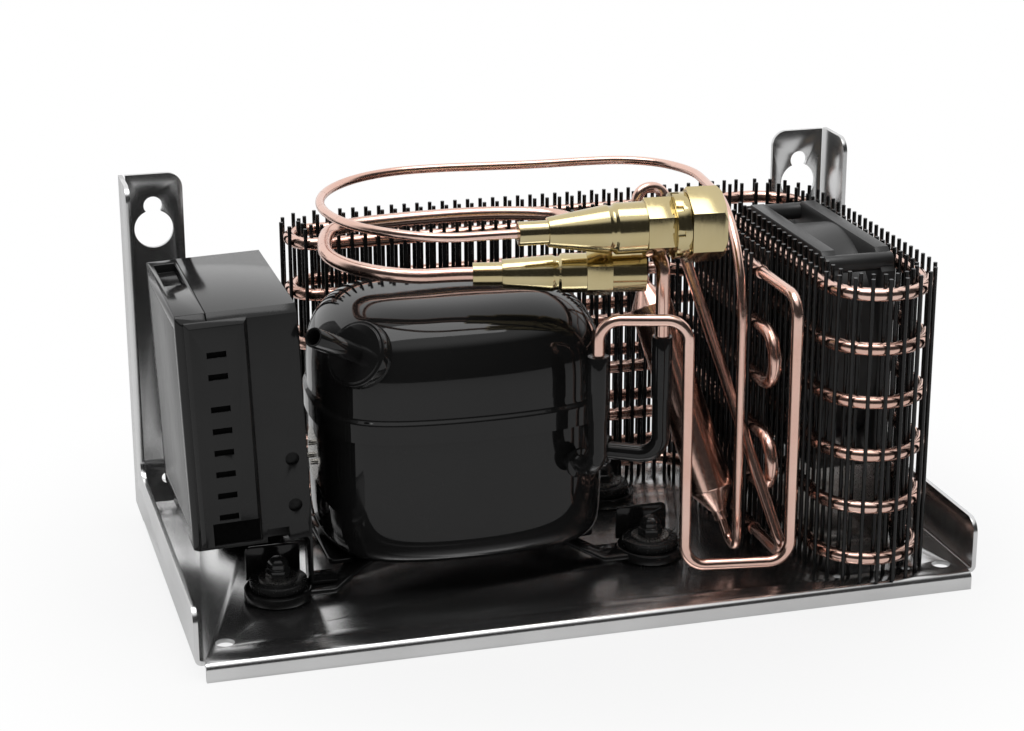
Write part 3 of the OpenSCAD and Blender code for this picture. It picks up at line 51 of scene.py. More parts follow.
LINED_UP = 0.99
NODES = frame["nodes"]
SLOTS = {part["node"]: part["material_slot"] for part in frame["record"]["subparts"]}

# Sizes that the solids were made from
SHELL_CENTRE = (-42, -1)
SHELL_PLAN = (129, 105)
ELEC_FOOT = (-166.8, -45, 37)
ELEC_SIZE = (50.5, 88, 104)
ELEC_LEAN = -2
LID_W = 13
PORT_PLACE = (-88, -34, 113)
PORT_YAW = -142
PORT_TILT = 62
FOOT_CENTRE = (-45, -1)
FOOT_SPAN = (170, 70)
CUP_LOW, CUP_TOP = 9, 13.5


# Finishes

METAL = 1
COATED = 0
GRAIN_DETAIL = 2
DRIFT_DETAIL = 3


def new_finish(name):
    """An empty finish: the finish, its shader, its node list and its link list."""
    made = bpy.data.materials.new(name)
    made.use_nodes = True
    tree = made.node_tree
    return made, tree.nodes["Principled BSDF"], tree.nodes, tree.links


def patches(nodes, links, scale, detail, stretch=(1, 1, 1), turn=(0, 0, 0)):
    """Soft random patches in object space."""
    place = nodes.new("ShaderNodeTexCoord")
    mapping = nodes.new("ShaderNodeMapping")
    mapping.inputs["Scale"].default_value = stretch
    mapping.inputs["Rotation"].default_value = [math.radians(a) for a in turn]
    links.new(place.outputs["Object"], mapping.inputs["Vector"])
    noise = nodes.new("ShaderNodeTexNoise")
    noise.inputs["Scale"].default_value = scale
    noise.inputs["Detail"].default_value = detail
    links.new(mapping.outputs["Vector"], noise.inputs["Vector"])
    return noise.outputs["Fac"]


def spread(nodes, links, source, low, high, start=0.35, stop=0.65, curve="LINEAR"):
    """Goes from low to high as the source goes from start to stop."""
    ramp = nodes.new("ShaderNodeMapRange")
    ramp.interpolation_type = curve
    ramp.inputs["From Min"].default_value = start
    ramp.inputs["From Max"].default_value = stop
    ramp.inputs["To Min"].default_value = low
    ramp.inputs["To Max"].default_value = high
    links.new(source, ramp.inputs["Value"])
    return ramp.outputs["Result"]


def finish(name, colour, worn, metal, rough, grain=900, stretch=(1, 1, 1), turn=(0, 0, 0), drift=28,
           bump=0.05, height=0.02, specular=0.5):
    """Colour drifts from one tone to a worn tone, and grain breaks up the gloss and lifts the surface."""
    made, shader, nodes, links = new_finish(name)
    broad = patches(nodes, links, drift, DRIFT_DETAIL)
    fine = patches(nodes, links, grain, GRAIN_DETAIL, stretch, turn)
    tone = nodes.new("ShaderNodeMix")
    tone.data_type = "RGBA"
    tone.inputs["A"].default_value = (*colour, 1)
    tone.inputs["B"].default_value = (*worn, 1)
    links.new(spread(nodes, links, broad, 0, 1), tone.inputs["Factor"])
    links.new(tone.outputs["Result"], shader.inputs["Base Color"])
    links.new(spread(nodes, links, fine, rough[0], rough[1]), shader.inputs["Roughness"])
    lift = nodes.new("ShaderNodeBump")
    lift.inputs["Strength"].default_value = bump
    lift.inputs["Distance"].default_value = height * MM
    links.new(fine, lift.inputs["Height"])
    links.new(lift.outputs["Normal"], shader.inputs["Normal"])
    shader.inputs["Metallic"].default_value = metal
    shader.inputs["Specular IOR Level"].default_value = specular
    return made


def grey(value, warm=0.0):
    """A grey, which warm turns a little towards red."""
    return (value * (1 + warm), value, value * (1 - warm))


# One finish for each material slot of the part
FINISH = {
    "sheet": finish(
        "satin_sheet", grey(0.72), grey(0.66), METAL, rough=(0.20, 0.27), grain=2600, bump=0.02, height=0.01),
    "shell_enamel": finish(
        "shell_gloss", grey(0.008), grey(0.011), COATED, rough=(0.04, 0.07), grain=260, drift=12, bump=0.04,
        height=0.03, specular=0.34),
    "bracket_enamel": finish(
        "bracket_gloss", grey(0.006), grey(0.009), COATED, rough=(0.06, 0.14), grain=500, bump=0.05,
        height=0.03, specular=0.3),
    "fastener_steel": finish(
        "zinc_plate", grey(0.62, 0.02), grey(0.52, 0.04), METAL, rough=(0.24, 0.34), grain=1500),
    "black_nuts": finish(
        "blacked_nuts", grey(0.008), grey(0.015), COATED, rough=(0.08, 0.16), specular=0.4),
    "rubber": finish(
        "foot_rubber", grey(0.008), grey(0.012), COATED, rough=(0.16, 0.28), grain=700, bump=0.08,
        height=0.03, specular=0.35),
    "terminal_steel": finish(
        "nickel_seal", (0.60, 0.58, 0.54), (0.50, 0.48, 0.45), METAL, rough=(0.22, 0.32), grain=1200),
    "lamination_steel": finish(
        "stacked_laminations", grey(0.34), grey(0.22), METAL, rough=(0.35, 0.5), grain=1,
        stretch=(20, 20, 2000), bump=0.5, height=0.2),
    "winding_copper": finish(
        "wound_wire", (0.50, 0.20, 0.09), (0.34, 0.12, 0.05), 0.7, rough=(0.28, 0.42), grain=1,
        stretch=(60, 60, 1600), bump=0.6, height=0.3),
    "machined_steel": finish(
        "ground_steel", grey(0.58), grey(0.50), METAL, rough=(0.18, 0.28), grain=1800),
    "cast_iron": finish(
        "cast_iron", grey(0.20, 0.02), grey(0.14, 0.03), METAL, rough=(0.45, 0.62), grain=600, bump=0.5,
        height=0.12),
    "case_plastic": finish(
        "case_plastic", grey(0.008), grey(0.011), COATED, rough=(0.10, 0.16), grain=2400, bump=0.03,
        specular=0.30),
    "sink_aluminium": finish(
        "satin_aluminium", grey(0.20), grey(0.16), METAL, rough=(0.32, 0.42), grain=1,
        stretch=(300, 2400, 60), bump=0.05),
    "board": finish(
        "solder_resist", (0.02, 0.11, 0.05), (0.03, 0.16, 0.07), COATED, rough=(0.3, 0.4)),
    "terminal_tin": finish(
        "tinned_brass", (0.70, 0.66, 0.52), (0.62, 0.56, 0.42), METAL, rough=(0.2, 0.3), grain=1200),
    "copper": finish(
        "drawn_copper", (0.86, 0.60, 0.51), (0.80, 0.51, 0.42), METAL, rough=(0.16, 0.23), grain=700,
        bump=0.05, height=0.03),
    "wire_enamel": finish(
        "wire_gloss", grey(0.006), grey(0.009), COATED, rough=(0.14, 0.20), grain=700, bump=0.01,
        specular=0.3),
    "fan_plastic": finish(
        "fan_plastic", grey(0.022), grey(0.028), COATED, rough=(0.30, 0.38), grain=1800, bump=0.08,
        specular=0.4),
    "desiccant": finish(
        "bonded_beads", grey(0.75, 0.03), grey(0.62, 0.05), COATED, rough=(0.7, 0.9), grain=500, bump=0.8,
        height=0.4),
    "brass": finish(
        "turned_brass", (0.60, 0.51, 0.30), (0.56, 0.46, 0.24), METAL, rough=(0.12, 0.19), grain=1,
        stretch=(2600, 60, 60), turn=(0, 0, 9), bump=0.06, height=0.02),
}

# The case screws get a near-black finish in place of plated steel, so that they stand in for the shade in their
# holes: painted shade.
SCREWS_PAINTED_SHADE = finish("screw_hole_painted_shade", grey(0.004), grey(0.006), COATED, rough=(0.3, 0.5), specular=0.2)
# Near-black matte finish for blocks that stand in for the shade deep in the cover's slots and window: painted
# shade.
PAINTED_SLOT_SHADE = finish("slot_shade_paint", grey(0.0015), grey(0.0025), COATED, rough=(0.7, 0.9), specular=0.05)

# Every solid takes its slot's finish, except the case screws, which take the near-black painted shade finish.
for node, part in NODES.items():
    part.data.materials.clear()
    part.data.materials.append(SCREWS_PAINTED_SHADE if node == "case_screws" else FINISH[SLOTS[node]])


# The maker's hands

MERGE_DISTANCE = 0.005
FLAT_ANGLE = 1.5
SMOOTH_ANGLE = 40


def lone(obj=None):
    """Nothing is selected but this piece."""
    if bpy.context.object and bpy.context.object.mode != "OBJECT":
        bpy.ops.object.mode_set(mode="OBJECT")
    bpy.ops.object.select_all(action="DESELECT")
    if obj:
        obj.select_set(True)
        bpy.context.view_layer.objects.active = obj


def settle(obj):
    """The piece's place goes into its mesh."""
    lone(obj)
    bpy.ops.object.transform_apply(location=True, rotation=True, scale=True)
    return obj


def name_it(obj, name):
    obj.name = obj.data.name = name
    return obj


def block(name, low, high):
    """A block between two corners."""
    lone()
    middle = [(a + b) / 2 * MM for a, b in zip(low, high)]
    bpy.ops.mesh.primitive_cube_add(size=1, location=middle)
    obj = name_it(bpy.context.object, name)
    obj.scale = [(b - a) * MM for a, b in zip(low, high)]
    return settle(obj)


def drum(name, r, low, high, sides=48):
    """A drum along Z, round the origin."""
    lone()
    bpy.ops.mesh.primitive_cylinder_add(vertices=sides, radius=r * MM, depth=(high - low) * MM,
                                        location=(0, 0, (low + high) / 2 * MM))
    return settle(name_it(bpy.context.object, name))


def work(obj):
    """Opens the piece for editing."""
    lone(obj)
    bpy.ops.object.mode_set(mode="EDIT")


def done():
    """Closes the piece that is being edited."""
    bpy.ops.object.mode_set(mode="OBJECT")


def pick(obj, kind, rule):
    """Selects the faces or edges that meet the rule."""
    bpy.ops.mesh.select_mode(type=kind)
    bpy.ops.mesh.select_all(action="DESELECT")
    shape = bmesh.from_edit_mesh(obj.data)
    shape.normal_update()
    for item in {"FACE": shape.faces, "EDGE": shape.edges}[kind]:
        if rule(item):
            item.select_set(True)
    bmesh.update_edit_mesh(obj.data)


def facing(axis, side):
    """The rule for faces that look along an axis, to its plus or minus side."""
    return lambda face: face.normal[axis] * side > FACING


def middle_of(edge):
    """The middle of an edge, in millimetres."""
    return (edge.verts[0].co + edge.verts[1].co) / 2 / MM


def along(edge, axis):
    """True if an edge runs along an axis."""
    way = (edge.verts[1].co - edge.verts[0].co).normalized()
    return abs(way[axis]) > LINED_UP


def push(x, y, z):
    """Extrudes the selected faces by this much."""
    bpy.ops.mesh.extrude_region_move(TRANSFORM_OT_translate={"value": (x * MM, y * MM, z * MM)})


def terrace(obj, steps):
    """Draws the top face in and then up or down, step by step."""
    pick(obj, "FACE", facing(Z, 1))
    for inward, rise in steps:
        bpy.ops.mesh.inset(thickness=inward * MM)
        if rise:
            push(0, 0, rise)


def chamfer(width, segments=1):
    """Bevels the selected edges."""
    bpy.ops.mesh.bevel(offset=width * MM, segments=segments, affect="EDGES")


def treat(obj, kind, **settings):
    """Adds a modifier and applies it."""
    lone(obj)
    tool = obj.modifiers.new(kind.title(), kind)
    for key, value in settings.items():
        setattr(tool, key, value)
    bpy.ops.object.modifier_apply(modifier=tool.name)


def smooth(obj, angle):
    """Shades smooth all that bends less than the angle."""
    lone(obj)
    bpy.ops.object.shade_smooth_by_angle(angle=math.radians(angle))


def ease(obj, width, angle=30, segments=2):
    """Takes the sharpness off the edges."""
    treat(obj, "BEVEL", width=width * MM, segments=segments, limit_method="ANGLE",
          angle_limit=math.radians(angle))
    smooth(obj, SMOOTH_ANGLE)


def join(pieces, name):
    """Makes the pieces one piece."""
    lone(pieces[0])
    for piece in pieces[1:]:
        piece.select_set(True)
    bpy.ops.object.join()
    return name_it(pieces[0], name)


def carve(obj, cutter):
    """Takes the cutter's shape out of the piece."""
    treat(obj, "BOOLEAN", object=cutter, operation="DIFFERENCE", solver="EXACT")
    bpy.data.objects.remove(cutter)


def put(obj, place, turn=(0, 0, 0)):
    """Turns and moves a piece made at the origin."""
    obj.location = [v * MM for v in place]
    obj.rotation_euler = [math.radians(a) for a in turn]
    return settle(obj)


def aim(obj, place, way):
    """Sets a piece made along Z at a place, pointing along a direction."""
    turn = Vector(way).normalized().to_track_quat("Z", "Y").to_matrix().to_4x4()
    obj.matrix_world = Matrix.Translation([v * MM for v in place]) @ turn
    return settle(obj)


def copy_of(node, name):
    """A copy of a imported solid's surface, merged and with its flat faces joined."""
    obj = bpy.data.objects.new(name, NODES[node].data.copy())
    bpy.context.scene.collection.objects.link(obj)
    lone(obj)
    bpy.ops.mesh.customdata_custom_splitnormals_clear()
    work(obj)
    bpy.ops.mesh.select_all(action="SELECT")
    bpy.ops.mesh.remove_doubles(threshold=MERGE_DISTANCE * MM)
    bpy.ops.mesh.dissolve_limited(angle_limit=math.radians(FLAT_ANGLE))
    done()
    return obj


def body_name(node):
    """The moving body that a node belongs to."""
    for body, members in frame["record"]["behaviour"]["bodies"].items():
        if node in members:
            return body
    return "unit"


def dress(obj, slot, body="unit", stands_for=(), coat=None):
    """Gives a finished piece its finish, its body and the nodes it stands for."""
    obj.data.materials.clear()
    obj.data.materials.append(coat or FINISH[slot])
    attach(obj, body)
    if stands_for:
        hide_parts(*stands_for)
    return obj


def eased_part(node, width):
    """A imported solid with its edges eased, in its own finish."""
    obj = copy_of(node, node + "_eased")
    ease(obj, width)
    return dress(obj, SLOTS[node], body_name(node), (node,))


# Shell: each ring of a half is a height, and how far it stands out from the shell's side

CAGE_GROWTH = 1.014
SHELL_CORNER = 22
SHELL_WALL = 2
SHELL_LEVELS = 4
SHELL_SMOOTH = 50
COVER_RINGS = [
    (78.5, 1.5), (79, 1.5), (86.6, 1.5), (87.2, 1.4), (88.6, 0.1), (89.2, 0), (99, 0), (107, -0.7),
    (114, -2.2), (120.5, -5.5), (126.5, -11.5), (130.8, -21), (132.6, -34)]
SUMP_RINGS = [
    (80, -0.2), (79.3, -0.2), (76, -0.1), (40, 0), (28, -0.6), (22.5, -3), (19.6, -9), (18.9, -22)]


def shell_half(name, rings):
    """A drawn shell half: a ring with cut corners, drawn up or down ring by ring, then rounded out."""
    x, y = SHELL_CENTRE
    half = [CAGE_GROWTH * s / 2 for s in SHELL_PLAN]
    (first_z, first_out), (second_z, _) = rings[:2]
    low, high = min(first_z, second_z), max(first_z, second_z)
    up = 1 if second_z > first_z else -1
    obj = block(name, (x - half[0] - first_out, y - half[1] - first_out, low),
                (x + half[0] + first_out, y + half[1] + first_out, high))
    work(obj)
    pick(obj, "EDGE", lambda e: along(e, Z))
    chamfer(SHELL_CORNER)
    pick(obj, "FACE", facing(Z, -up))
    bpy.ops.mesh.delete(type="ONLY_FACE")
    pick(obj, "FACE", facing(Z, up))
    for (z0, out0), (z1, out1) in zip(rings[1:], rings[2:]):
        push(0, 0, z1 - z0)
        grow = [(h + out1) / (h + out0) for h in half]
        bpy.ops.transform.resize(value=(grow[0], grow[1], 1),
                                 center_override=(x * MM, y * MM, z1 * MM))
    done()
    treat(obj, "SUBSURF", levels=SHELL_LEVELS, render_levels=SHELL_LEVELS)
    treat(obj, "SOLIDIFY", thickness=SHELL_WALL * MM, offset=-1)
    smooth(obj, SHELL_SMOOTH)
    return obj


dress(shell_half("shell_cover", COVER_RINGS), "shell_enamel", "unit", ("upper_shell",))
dress(shell_half("shell_sump", SUMP_RINGS), "shell_enamel", "unit", ("lower_shell",))


# Filling stub and the boss that it stands on

BOSS_R = 14.5
BOSS_FOOT, BOSS_TOP = -18, 8.5
BOSS_STEPS = ((1.5, 0.8), (6, 0))
BOSS_EASE = 1.6
STUB_R = 4.3
STUB_WALL = 0.9
STUB_FOOT, STUB_TOP = -6, 39
STUB_BORE_DEPTH = 38
STUB_EASE = 0.25


def port_way():
    """The direction that the stub points in."""
    yaw, tilt = math.radians(PORT_YAW), math.radians(PORT_TILT)
    return (math.sin(tilt) * math.cos(yaw), math.sin(tilt) * math.sin(yaw), math.cos(tilt))


def process_boss():
    """Rounded boss on the shoulder, with a crease round it, and the open filling stub."""
    boss = drum("port_boss", BOSS_R, BOSS_FOOT, BOSS_TOP)
    work(boss)
    terrace(boss, BOSS_STEPS)
    done()
    ease(boss, BOSS_EASE, 25, 4)
    aim(boss, PORT_PLACE, port_way())
    dress(boss, "shell_enamel")
    stub = drum("port_stub", STUB_R, STUB_FOOT, STUB_TOP, 40)
    work(stub)
    terrace(stub, [(STUB_WALL, -STUB_BORE_DEPTH)])
    done()
    ease(stub, STUB_EASE)
    aim(stub, PORT_PLACE, port_way())
    dress(stub, "shell_enamel", "unit", ("process_connector",))


process_boss()


# Electronics unit, in its own frame: X across, Y back from its front, Z up from its foot

SEAM = 0.15
CASE_CHAMFER = 3.2
LID_SIDE_CHAMFER = 2.24
CASE_EASE = 0.45
PLATE_MARGIN, PLATE_DEPTH = 7, 5
LATCH_X, LATCH_Y = (2.5, LID_W - 1.5), (48, 82)
LATCH_DEPTH = 4
NOTCH_X = (31.5, 41)
NOTCH_SIZE = 6
SCREW_X = 44.4
SCREW_HEIGHTS = (15.4, 36.4)
SCREW_R, SCREW_DEPTH = 3, 5
COVER_X = (3.2, 29.5)
COVER_LOW, COVER_DROP = 2, 2.5
COVER_PROUD = 2.4
COVER_ROOT = 1
COVER_TOP_CHAMFER = 2.2
COVER_SIDE_CHAMFER = 1.8
CUT_START = -4
TERMINALS = 8
TERMINAL_X = (11.5, 19.7)
TERMINAL_H = 2.6
TERMINAL_FIRST = 13.8
TERMINAL_PITCH = 9.65
TERMINAL_JUMP, JUMP_AFTER = 4.6, 6
TERMINAL_FLOOR = -0.6
WINDOW_X, WINDOW_Z = (8.5, 28.6), (2.6, 12.5)
WINDOW_FLOOR = -1.2
WINDOW_GAP, TERMINAL_GAP = 0.1, 0.05
SHADE_BLOCK_SINK = 0.1
SHADE_BLOCK_EASE = 0.08


def at_electronics(obj):
    """Moves a piece from the unit's own frame to its place."""
    return put(obj, ELEC_FOOT, (0, ELEC_LEAN, 0))


def cut_from(obj, low, high):
    """Cuts a block out of the piece."""
    carve(obj, block("cutter", low, high))


def terminal_heights():
    """The lower edges of the row of slots, of which the last two stand apart."""
    return [TERMINAL_FIRST + i * TERMINAL_PITCH + (0 if i < JUMP_AFTER else TERMINAL_JUMP)
            for i in range(TERMINALS)]


def case_halves():
    """The case and its lid, with chamfered top edges, a plate's pocket, a latch pocket and screw holes."""
    w, d, h = ELEC_SIZE
    case = block("case_body", (LID_W + SEAM, 0, 0), (w, d, h))
    lid = block("case_lid", (0, 0, 0), (LID_W - SEAM, d, h))
    for obj in (case, lid):
        work(obj)
        pick(obj, "EDGE", lambda e: along(e, X) and middle_of(e).y < 1 and middle_of(e).z > h / 2)
        chamfer(CASE_CHAMFER)
        done()
    work(lid)
    pick(lid, "EDGE", lambda e: along(e, Z) and middle_of(e).x < 1 and middle_of(e).y < d / 2)
    chamfer(LID_SIDE_CHAMFER)
    done()
    cut_from(lid, (-OVERRUN, PLATE_MARGIN, PLATE_MARGIN), (PLATE_DEPTH, d - PLATE_MARGIN, h - PLATE_MARGIN))
    cut_from(lid, (LATCH_X[0], LATCH_Y[0], h - LATCH_DEPTH), (LATCH_X[1], LATCH_Y[1], h + OVERRUN))
    cut_from(case, (NOTCH_X[0], -OVERRUN, -OVERRUN), (NOTCH_X[1], NOTCH_SIZE, NOTCH_SIZE))
    for z in SCREW_HEIGHTS:
        hole = drum("cutter", SCREW_R, -OVERRUN, SCREW_DEPTH, 24)
        put(hole, (SCREW_X, SCREW_DEPTH - OVERRUN, z), (90, 0, 0))
        carve(case, hole)
    return case, lid


def terminal_cover():
    """The raised cover, with chamfered edges, a row of slots and a window under them."""
    cover = block("terminal_cover", (COVER_X[0], -COVER_PROUD, COVER_LOW),
                  (COVER_X[1], COVER_ROOT, ELEC_SIZE[2] - COVER_DROP))
    work(cover)
    pick(cover, "EDGE", lambda e: along(e, X) and middle_of(e).y < 0 and middle_of(e).z > ELEC_SIZE[2] / 2)
    chamfer(COVER_TOP_CHAMFER)
    pick(cover, "EDGE", lambda e: along(e, Z) and middle_of(e).y < 0)
    chamfer(COVER_SIDE_CHAMFER)
    done()
    for z in terminal_heights():
        cut_from(cover, (TERMINAL_X[0], CUT_START, z), (TERMINAL_X[1], TERMINAL_FLOOR, z + TERMINAL_H))
    cut_from(cover, (WINDOW_X[0], CUT_START, WINDOW_Z[0]), (WINDOW_X[1], WINDOW_FLOOR, WINDOW_Z[1]))
    return cover


def terminal_shade_blocks():
    """Painted shade: near-black matte blocks in the slots and the window, each a little smaller than its cut,
    that stand in for the shade deep inside them.
    """
    gap, slit = WINDOW_GAP, TERMINAL_GAP
    shade_blocks = [block("shade_block", (WINDOW_X[0] + gap, WINDOW_FLOOR - SHADE_BLOCK_SINK, WINDOW_Z[0] + gap),
                   (WINDOW_X[1] - gap, WINDOW_FLOOR + SHADE_BLOCK_SINK, WINDOW_Z[1] - gap))]
    for z in terminal_heights():
        shade_blocks.append(block("shade_block", (TERMINAL_X[0] + slit, WINDOW_FLOOR, z + slit),
                           (TERMINAL_X[1] - slit, TERMINAL_FLOOR + SHADE_BLOCK_SINK, z + TERMINAL_H - slit)))
    for shade_block in shade_blocks:
        ease(shade_block, SHADE_BLOCK_EASE, 30, 1)
    return join(shade_blocks, "terminal_shade_blocks")


def electronics():
    """A gloss case in two halves, with a raised terminal cover on its front."""
    case, lid = case_halves()
    cover = terminal_cover()
    # The blocks carry the near-black matte finish, which is painted shade in the slots and the window.
    shade_blocks = at_electronics(terminal_shade_blocks())
    dress(shade_blocks, "case_plastic", coat=PAINTED_SLOT_SHADE)
    for obj, node in ((case, "electronics_housing"), (lid, "electronics_lid"), (cover, None)):
        ease(obj, CASE_EASE)
        at_electronics(obj)
        dress(obj, "case_plastic", "unit", (node,) if node else ())


electronics()


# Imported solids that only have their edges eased, and by how much

EASED = {
    "base_tray": 0.35, "heat_sink": 0.4, "electronics_bracket": 0.3, "foot_grommets": 0.5,
    "foot_bolts": 0.3, "fan_frame": 0.5, "fan_bracket": 0.2, "upper_coupling": 0.2, "upper_sleeve": 0.25,
    "union_nut": 0.3, "lower_coupling": 0.2, "lower_gland": 0.3, "filter_drier": 0.5,
    "suction_connector": 0.3, "discharge_connector": 0.3, "fan_rotor": 0.4,
}

for node, width in EASED.items():
    eased_part(node, width)


# Feet

COLLAR_R = 15
COLLAR_STEPS = ((1.2, -0.8), (2.2, 1.6), (5.4, -4))
COLLAR_EASE = 0.4
ARM_REACH, ARM_HALF_W = 24, 8
ARM_INSET_LOW, ARM_INSET_TOP = 1, 0.6
ARM_STEPS = ((14, 9, 6), (12, 6, 3))
ARM_EASE = 1.4
ARM_HOLE_R = 10.6
TAB_HALF_W = 12
TAB_FRONT, TAB_BACK = 12.5, 14
TAB_SINK, TAB_RISE = 1.5, 14
TAB_CORNER = 2.5
TAB_EASE = 0.3
RAIL_INWARD, RAIL_HALF_W = 30, 6
RAIL_Y, RAIL_Z = (-28, 26), (17.2, 19.6)
RAIL_CORNER = 3
RAIL_EASE = 0.4
BRACKET_SMOOTH = 35
NUT_R, NUT_TOP_R = 5.6, 4.5
NUT_LOW, NUT_TOP = 17.7, 22
NUT_SIDES = 6
NUT_CROWN = ((0.7, 2.6),)
NUT_DOME = ((0.9, 1.4), (1.3, 0.9))
NUT_TURN = 20
NUT_EASE = 0.3


def collar(x, y):
    """A round collar with a rim and a sunk middle."""
    obj = drum("collar", COLLAR_R, CUP_LOW, CUP_TOP, 40)
    work(obj)
    terrace(obj, COLLAR_STEPS)
    done()
    put(obj, (x, y, 0))
    ease(obj, COLLAR_EASE)
    return obj


def arm(x, y, side, end):
    """An arm that rises from the collar in two bends to under the shell."""
    inner = x - side * ARM_REACH
    obj = block("arm", (min(x, inner), y - ARM_HALF_W, CUP_LOW + ARM_INSET_LOW),
                (max(x, inner), y + ARM_HALF_W, CUP_TOP - ARM_INSET_TOP))
    work(obj)
    pick(obj, "FACE", facing(X, -side))
    for inward, across, rise in ARM_STEPS:
        push(-side * inward, -end * across, rise)
    done()
    ease(obj, ARM_EASE, 30, 3)
    hole = drum("cutter", ARM_HOLE_R, CUP_LOW - OVERRUN, CUP_TOP + 2 * OVERRUN, 40)
    put(hole, (x, y, 0))
    carve(obj, hole)
    return obj


def tab(x, y):
    """An upright tab behind the collar, with rounded top corners."""
    obj = block("tab", (x - TAB_HALF_W, y + TAB_FRONT, CUP_TOP - TAB_SINK),
                (x + TAB_HALF_W, y + TAB_BACK, CUP_TOP + TAB_RISE))
    work(obj)
    pick(obj, "EDGE", lambda e: along(e, Y) and middle_of(e).z > CUP_TOP + TAB_RISE / 2)
    chamfer(TAB_CORNER, 3)
    done()
    ease(obj, TAB_EASE)
    return obj


def rail(x):
    """The flat rail that carries the shell's side."""
    obj = block("rail", (x - RAIL_HALF_W, RAIL_Y[0], RAIL_Z[0]), (x + RAIL_HALF_W, RAIL_Y[1], RAIL_Z[1]))
    work(obj)
    pick(obj, "EDGE", lambda e: along(e, Z))
    chamfer(RAIL_CORNER, 3)
    done()
    ease(obj, RAIL_EASE)
    return obj


def foot_bracket(side, hand):
    """Pressed bracket: two collars, each with an arm and a tab, and the rail between the arms."""
    x = FOOT_CENTRE[X] + side * FOOT_SPAN[X] / 2
    parts = []
    for end in (-1, 1):
        y = FOOT_CENTRE[Y] + end * FOOT_SPAN[Y] / 2
        parts += [collar(x, y), arm(x, y, side, end), tab(x, y)]
    parts.append(rail(x - side * RAIL_INWARD))
    whole = join(parts, hand + "_bracket_pressed")
    smooth(whole, BRACKET_SMOOTH)
    dress(whole, "bracket_enamel", "unit", (hand + "_foot_bracket",))


def cap_nut(x, y):
    """A hexagon with a narrower crown and a faceted dome."""
    nut = drum("cap_nut", NUT_R, NUT_LOW, NUT_TOP, NUT_SIDES)
    work(nut)
    terrace(nut, NUT_CROWN)
    for inward, rise in NUT_DOME:
        push(0, 0, rise)
        grow = 1 - inward / NUT_TOP_R
        bpy.ops.transform.resize(value=(grow, grow, 1), center_override=(0, 0, 0))
    done()
    ease(nut, NUT_EASE, 25, 2)
    return put(nut, (x, y, 0), (0, 0, NUT_TURN))


def dome_nuts():
    """One cap nut on each of the four feet."""
    nuts = [cap_nut(FOOT_CENTRE[X] + sx * FOOT_SPAN[X] / 2, FOOT_CENTRE[Y] + sy * FOOT_SPAN[Y] / 2)
            for sx in (-1, 1) for sy in (-1, 1)]
    dress(join(nuts, "cap_nuts"), "black_nuts", "unit", ("foot_nuts",))


foot_bracket(-1, "left")
foot_bracket(1, "right")
dome_nuts()


# Studio, in metres

FLOOR_SIZE = 3
FLOOR_TONE = (0.8, 0.8, 0.8, 1)
FLOOR_ROUGH = 0.9
GLOW_NEAR, GLOW_FAR = 0.8, 1.0
GLOW_FADE = (0.12, 0.30)
FLOOR_IN_GLOSS = 0.3
WHITE = 1.0
DARK_BAND = 0.035
PLAIN_LEVEL = 0.45
BAND_FACING = (-0.10, -0.99, 0)
BAND_SIDES = (-0.30, 0.05)
BAND_FOOT = (-0.27, -0.19)
BAND_TOP = (0.66, 0.86)
SOFT_BOX_SIZE = (1.1, 0.7)
SOFT_BOX_PLACE = (-0.15, -0.1, 1.3)
SOFT_BOX_POWER = 7.5


def feed(links, socket, value):
    """Sets a number on a socket, or links another socket to it."""
    if isinstance(value, float):
        socket.default_value = value
    else:
        links.new(value, socket)


def maths(nodes, links, operation, first, second):
    """A maths node on two values."""
    step = nodes.new("ShaderNodeMath")
    step.operation = operation
    feed(links, step.inputs[0], first)
    feed(links, step.inputs[1], second)
    return step.outputs[0]


def between(nodes, links, factor, low, high):
    """Goes from low to high as the factor goes from 0 to 1."""
    step = nodes.new("ShaderNodeMix")
    feed(links, step.inputs["Factor"], factor)
    feed(links, step.inputs["A"], low)
    feed(links, step.inputs["B"], high)
    return step.outputs["Result"]


def studio_paper():
    """Pale paper that keeps a shadow near the object and glows white further out."""
    made, shader, nodes, links = new_finish("studio_paper")
    shader.inputs["Base Color"].default_value = FLOOR_TONE
    shader.inputs["Roughness"].default_value = FLOOR_ROUGH
    shader.inputs["Specular IOR Level"].default_value = 0
    glow = nodes.new("ShaderNodeEmission")
    glow.inputs["Strength"].default_value = WHITE
    place = nodes.new("ShaderNodeTexCoord")
    length = nodes.new("ShaderNodeVectorMath")
    length.operation = "LENGTH"
    links.new(place.outputs["Object"], length.inputs[0])
    far = spread(nodes, links, length.outputs["Value"], GLOW_NEAR, GLOW_FAR, *GLOW_FADE, "SMOOTHSTEP")
    light = nodes.new("ShaderNodeLightPath")
    in_gloss = maths(nodes, links, "MULTIPLY", light.outputs["Is Glossy Ray"], FLOOR_IN_GLOSS)
    seen = maths(nodes, links, "MAXIMUM", light.outputs["Is Camera Ray"], in_gloss)
    blend = nodes.new("ShaderNodeMixShader")
    links.new(maths(nodes, links, "MULTIPLY", far, seen), blend.inputs["Fac"])
    links.new(shader.outputs[0], blend.inputs[1])
    links.new(glow.outputs[0], blend.inputs[2])
    links.new(blend.outputs[0], nodes["Material Output"].inputs["Surface"])
    return made


def studio_floor():
    """The plane that the unit stands on."""
    lone()
    bpy.ops.mesh.primitive_plane_add(size=FLOOR_SIZE, location=(0, 0, 0))
    floor = bpy.context.object
    floor.name = "studio_floor"
    floor.data.materials.append(studio_paper())


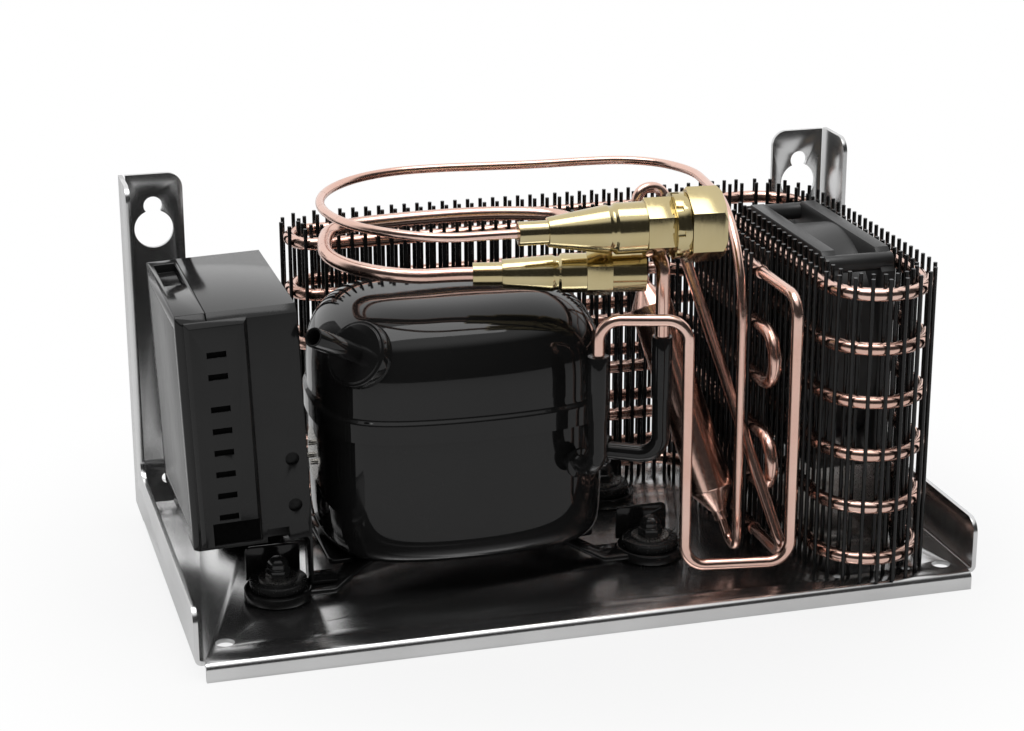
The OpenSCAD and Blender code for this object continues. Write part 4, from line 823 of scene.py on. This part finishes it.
def dark_band(nodes, links):
    """One in a band round the front and both sides, from just under the horizon to high up, else zero."""
    place = nodes.new("ShaderNodeTexCoord")
    turned = nodes.new("ShaderNodeVectorMath")
    turned.operation = "DOT_PRODUCT"
    turned.inputs[1].default_value = BAND_FACING
    links.new(place.outputs["Generated"], turned.inputs[0])
    split = nodes.new("ShaderNodeSeparateXYZ")
    links.new(place.outputs["Generated"], split.inputs[0])
    height = split.outputs["Z"]
    sides = spread(nodes, links, turned.outputs["Value"], 0, 1, *BAND_SIDES, "SMOOTHSTEP")
    above = spread(nodes, links, height, 0, 1, *BAND_FOOT, "SMOOTHSTEP")
    below = spread(nodes, links, height, 1, 0, *BAND_TOP, "SMOOTHSTEP")
    return maths(nodes, links, "MULTIPLY", maths(nodes, links, "MULTIPLY", sides, above), below)


def studio_world():
    """Diffuse rays see a plain level, glossy and transmission rays the band on white, the camera white."""
    world = bpy.data.worlds.new("studio")
    bpy.context.scene.world = world
    world.use_nodes = True
    nodes, links = world.node_tree.nodes, world.node_tree.links
    nodes.clear()
    out = nodes.new("ShaderNodeOutputWorld")
    sky = nodes.new("ShaderNodeBackground")
    sky.inputs["Color"].default_value = (1, 1, 1, 1)
    links.new(sky.outputs[0], out.inputs["Surface"])
    light = nodes.new("ShaderNodeLightPath")
    front = spread(nodes, links, dark_band(nodes, links), WHITE, DARK_BAND, 0, 1)
    mirrored = maths(nodes, links, "MAXIMUM", light.outputs["Is Glossy Ray"],
                     light.outputs["Is Transmission Ray"])
    lit = between(nodes, links, mirrored, PLAIN_LEVEL, front)
    shown = between(nodes, links, light.outputs["Is Camera Ray"], lit, WHITE)
    links.new(shown, sky.inputs["Strength"])


def soft_box():
    """A wide lamp above the unit, facing down."""
    lamp = bpy.data.lights.new("soft_box", "AREA")
    lamp.shape = "RECTANGLE"
    lamp.size, lamp.size_y = SOFT_BOX_SIZE
    lamp.energy = SOFT_BOX_POWER
    holder = bpy.data.objects.new("soft_box", lamp)
    bpy.context.scene.collection.objects.link(holder)
    holder.location = SOFT_BOX_PLACE


studio_floor()
studio_world()
soft_box()


# Camera, in metres: it stands where the photograph's stood

CAMERA_LENS, CAMERA_SENSOR = 84.02, 36
CAMERA_CLIP = 0.01
CAMERA_PLACE = (-0.2917, -0.9809, 0.4318)
CAMERA_RIGHT = (0.96203337, -0.27291994, -0.00255071)
CAMERA_UP = (0.0886509, 0.30362519, 0.9486584)
CAMERA_BACK = (-0.25813333, -0.91286716, 0.31629216)


def camera():
    """The camera, turned by the three directions of its picture."""
    eye = bpy.data.cameras.new("camera")
    eye.sensor_fit = "HORIZONTAL"
    eye.sensor_width = CAMERA_SENSOR
    eye.lens = CAMERA_LENS
    eye.clip_start = CAMERA_CLIP
    holder = bpy.data.objects.new("camera", eye)
    bpy.context.scene.collection.objects.link(holder)
    turn = Matrix((CAMERA_RIGHT, CAMERA_UP, CAMERA_BACK)).transposed().to_4x4()
    holder.matrix_world = Matrix.Translation(CAMERA_PLACE) @ turn
    bpy.context.scene.camera = holder


camera()
bpy.context.scene.view_settings.view_transform = "Standard"
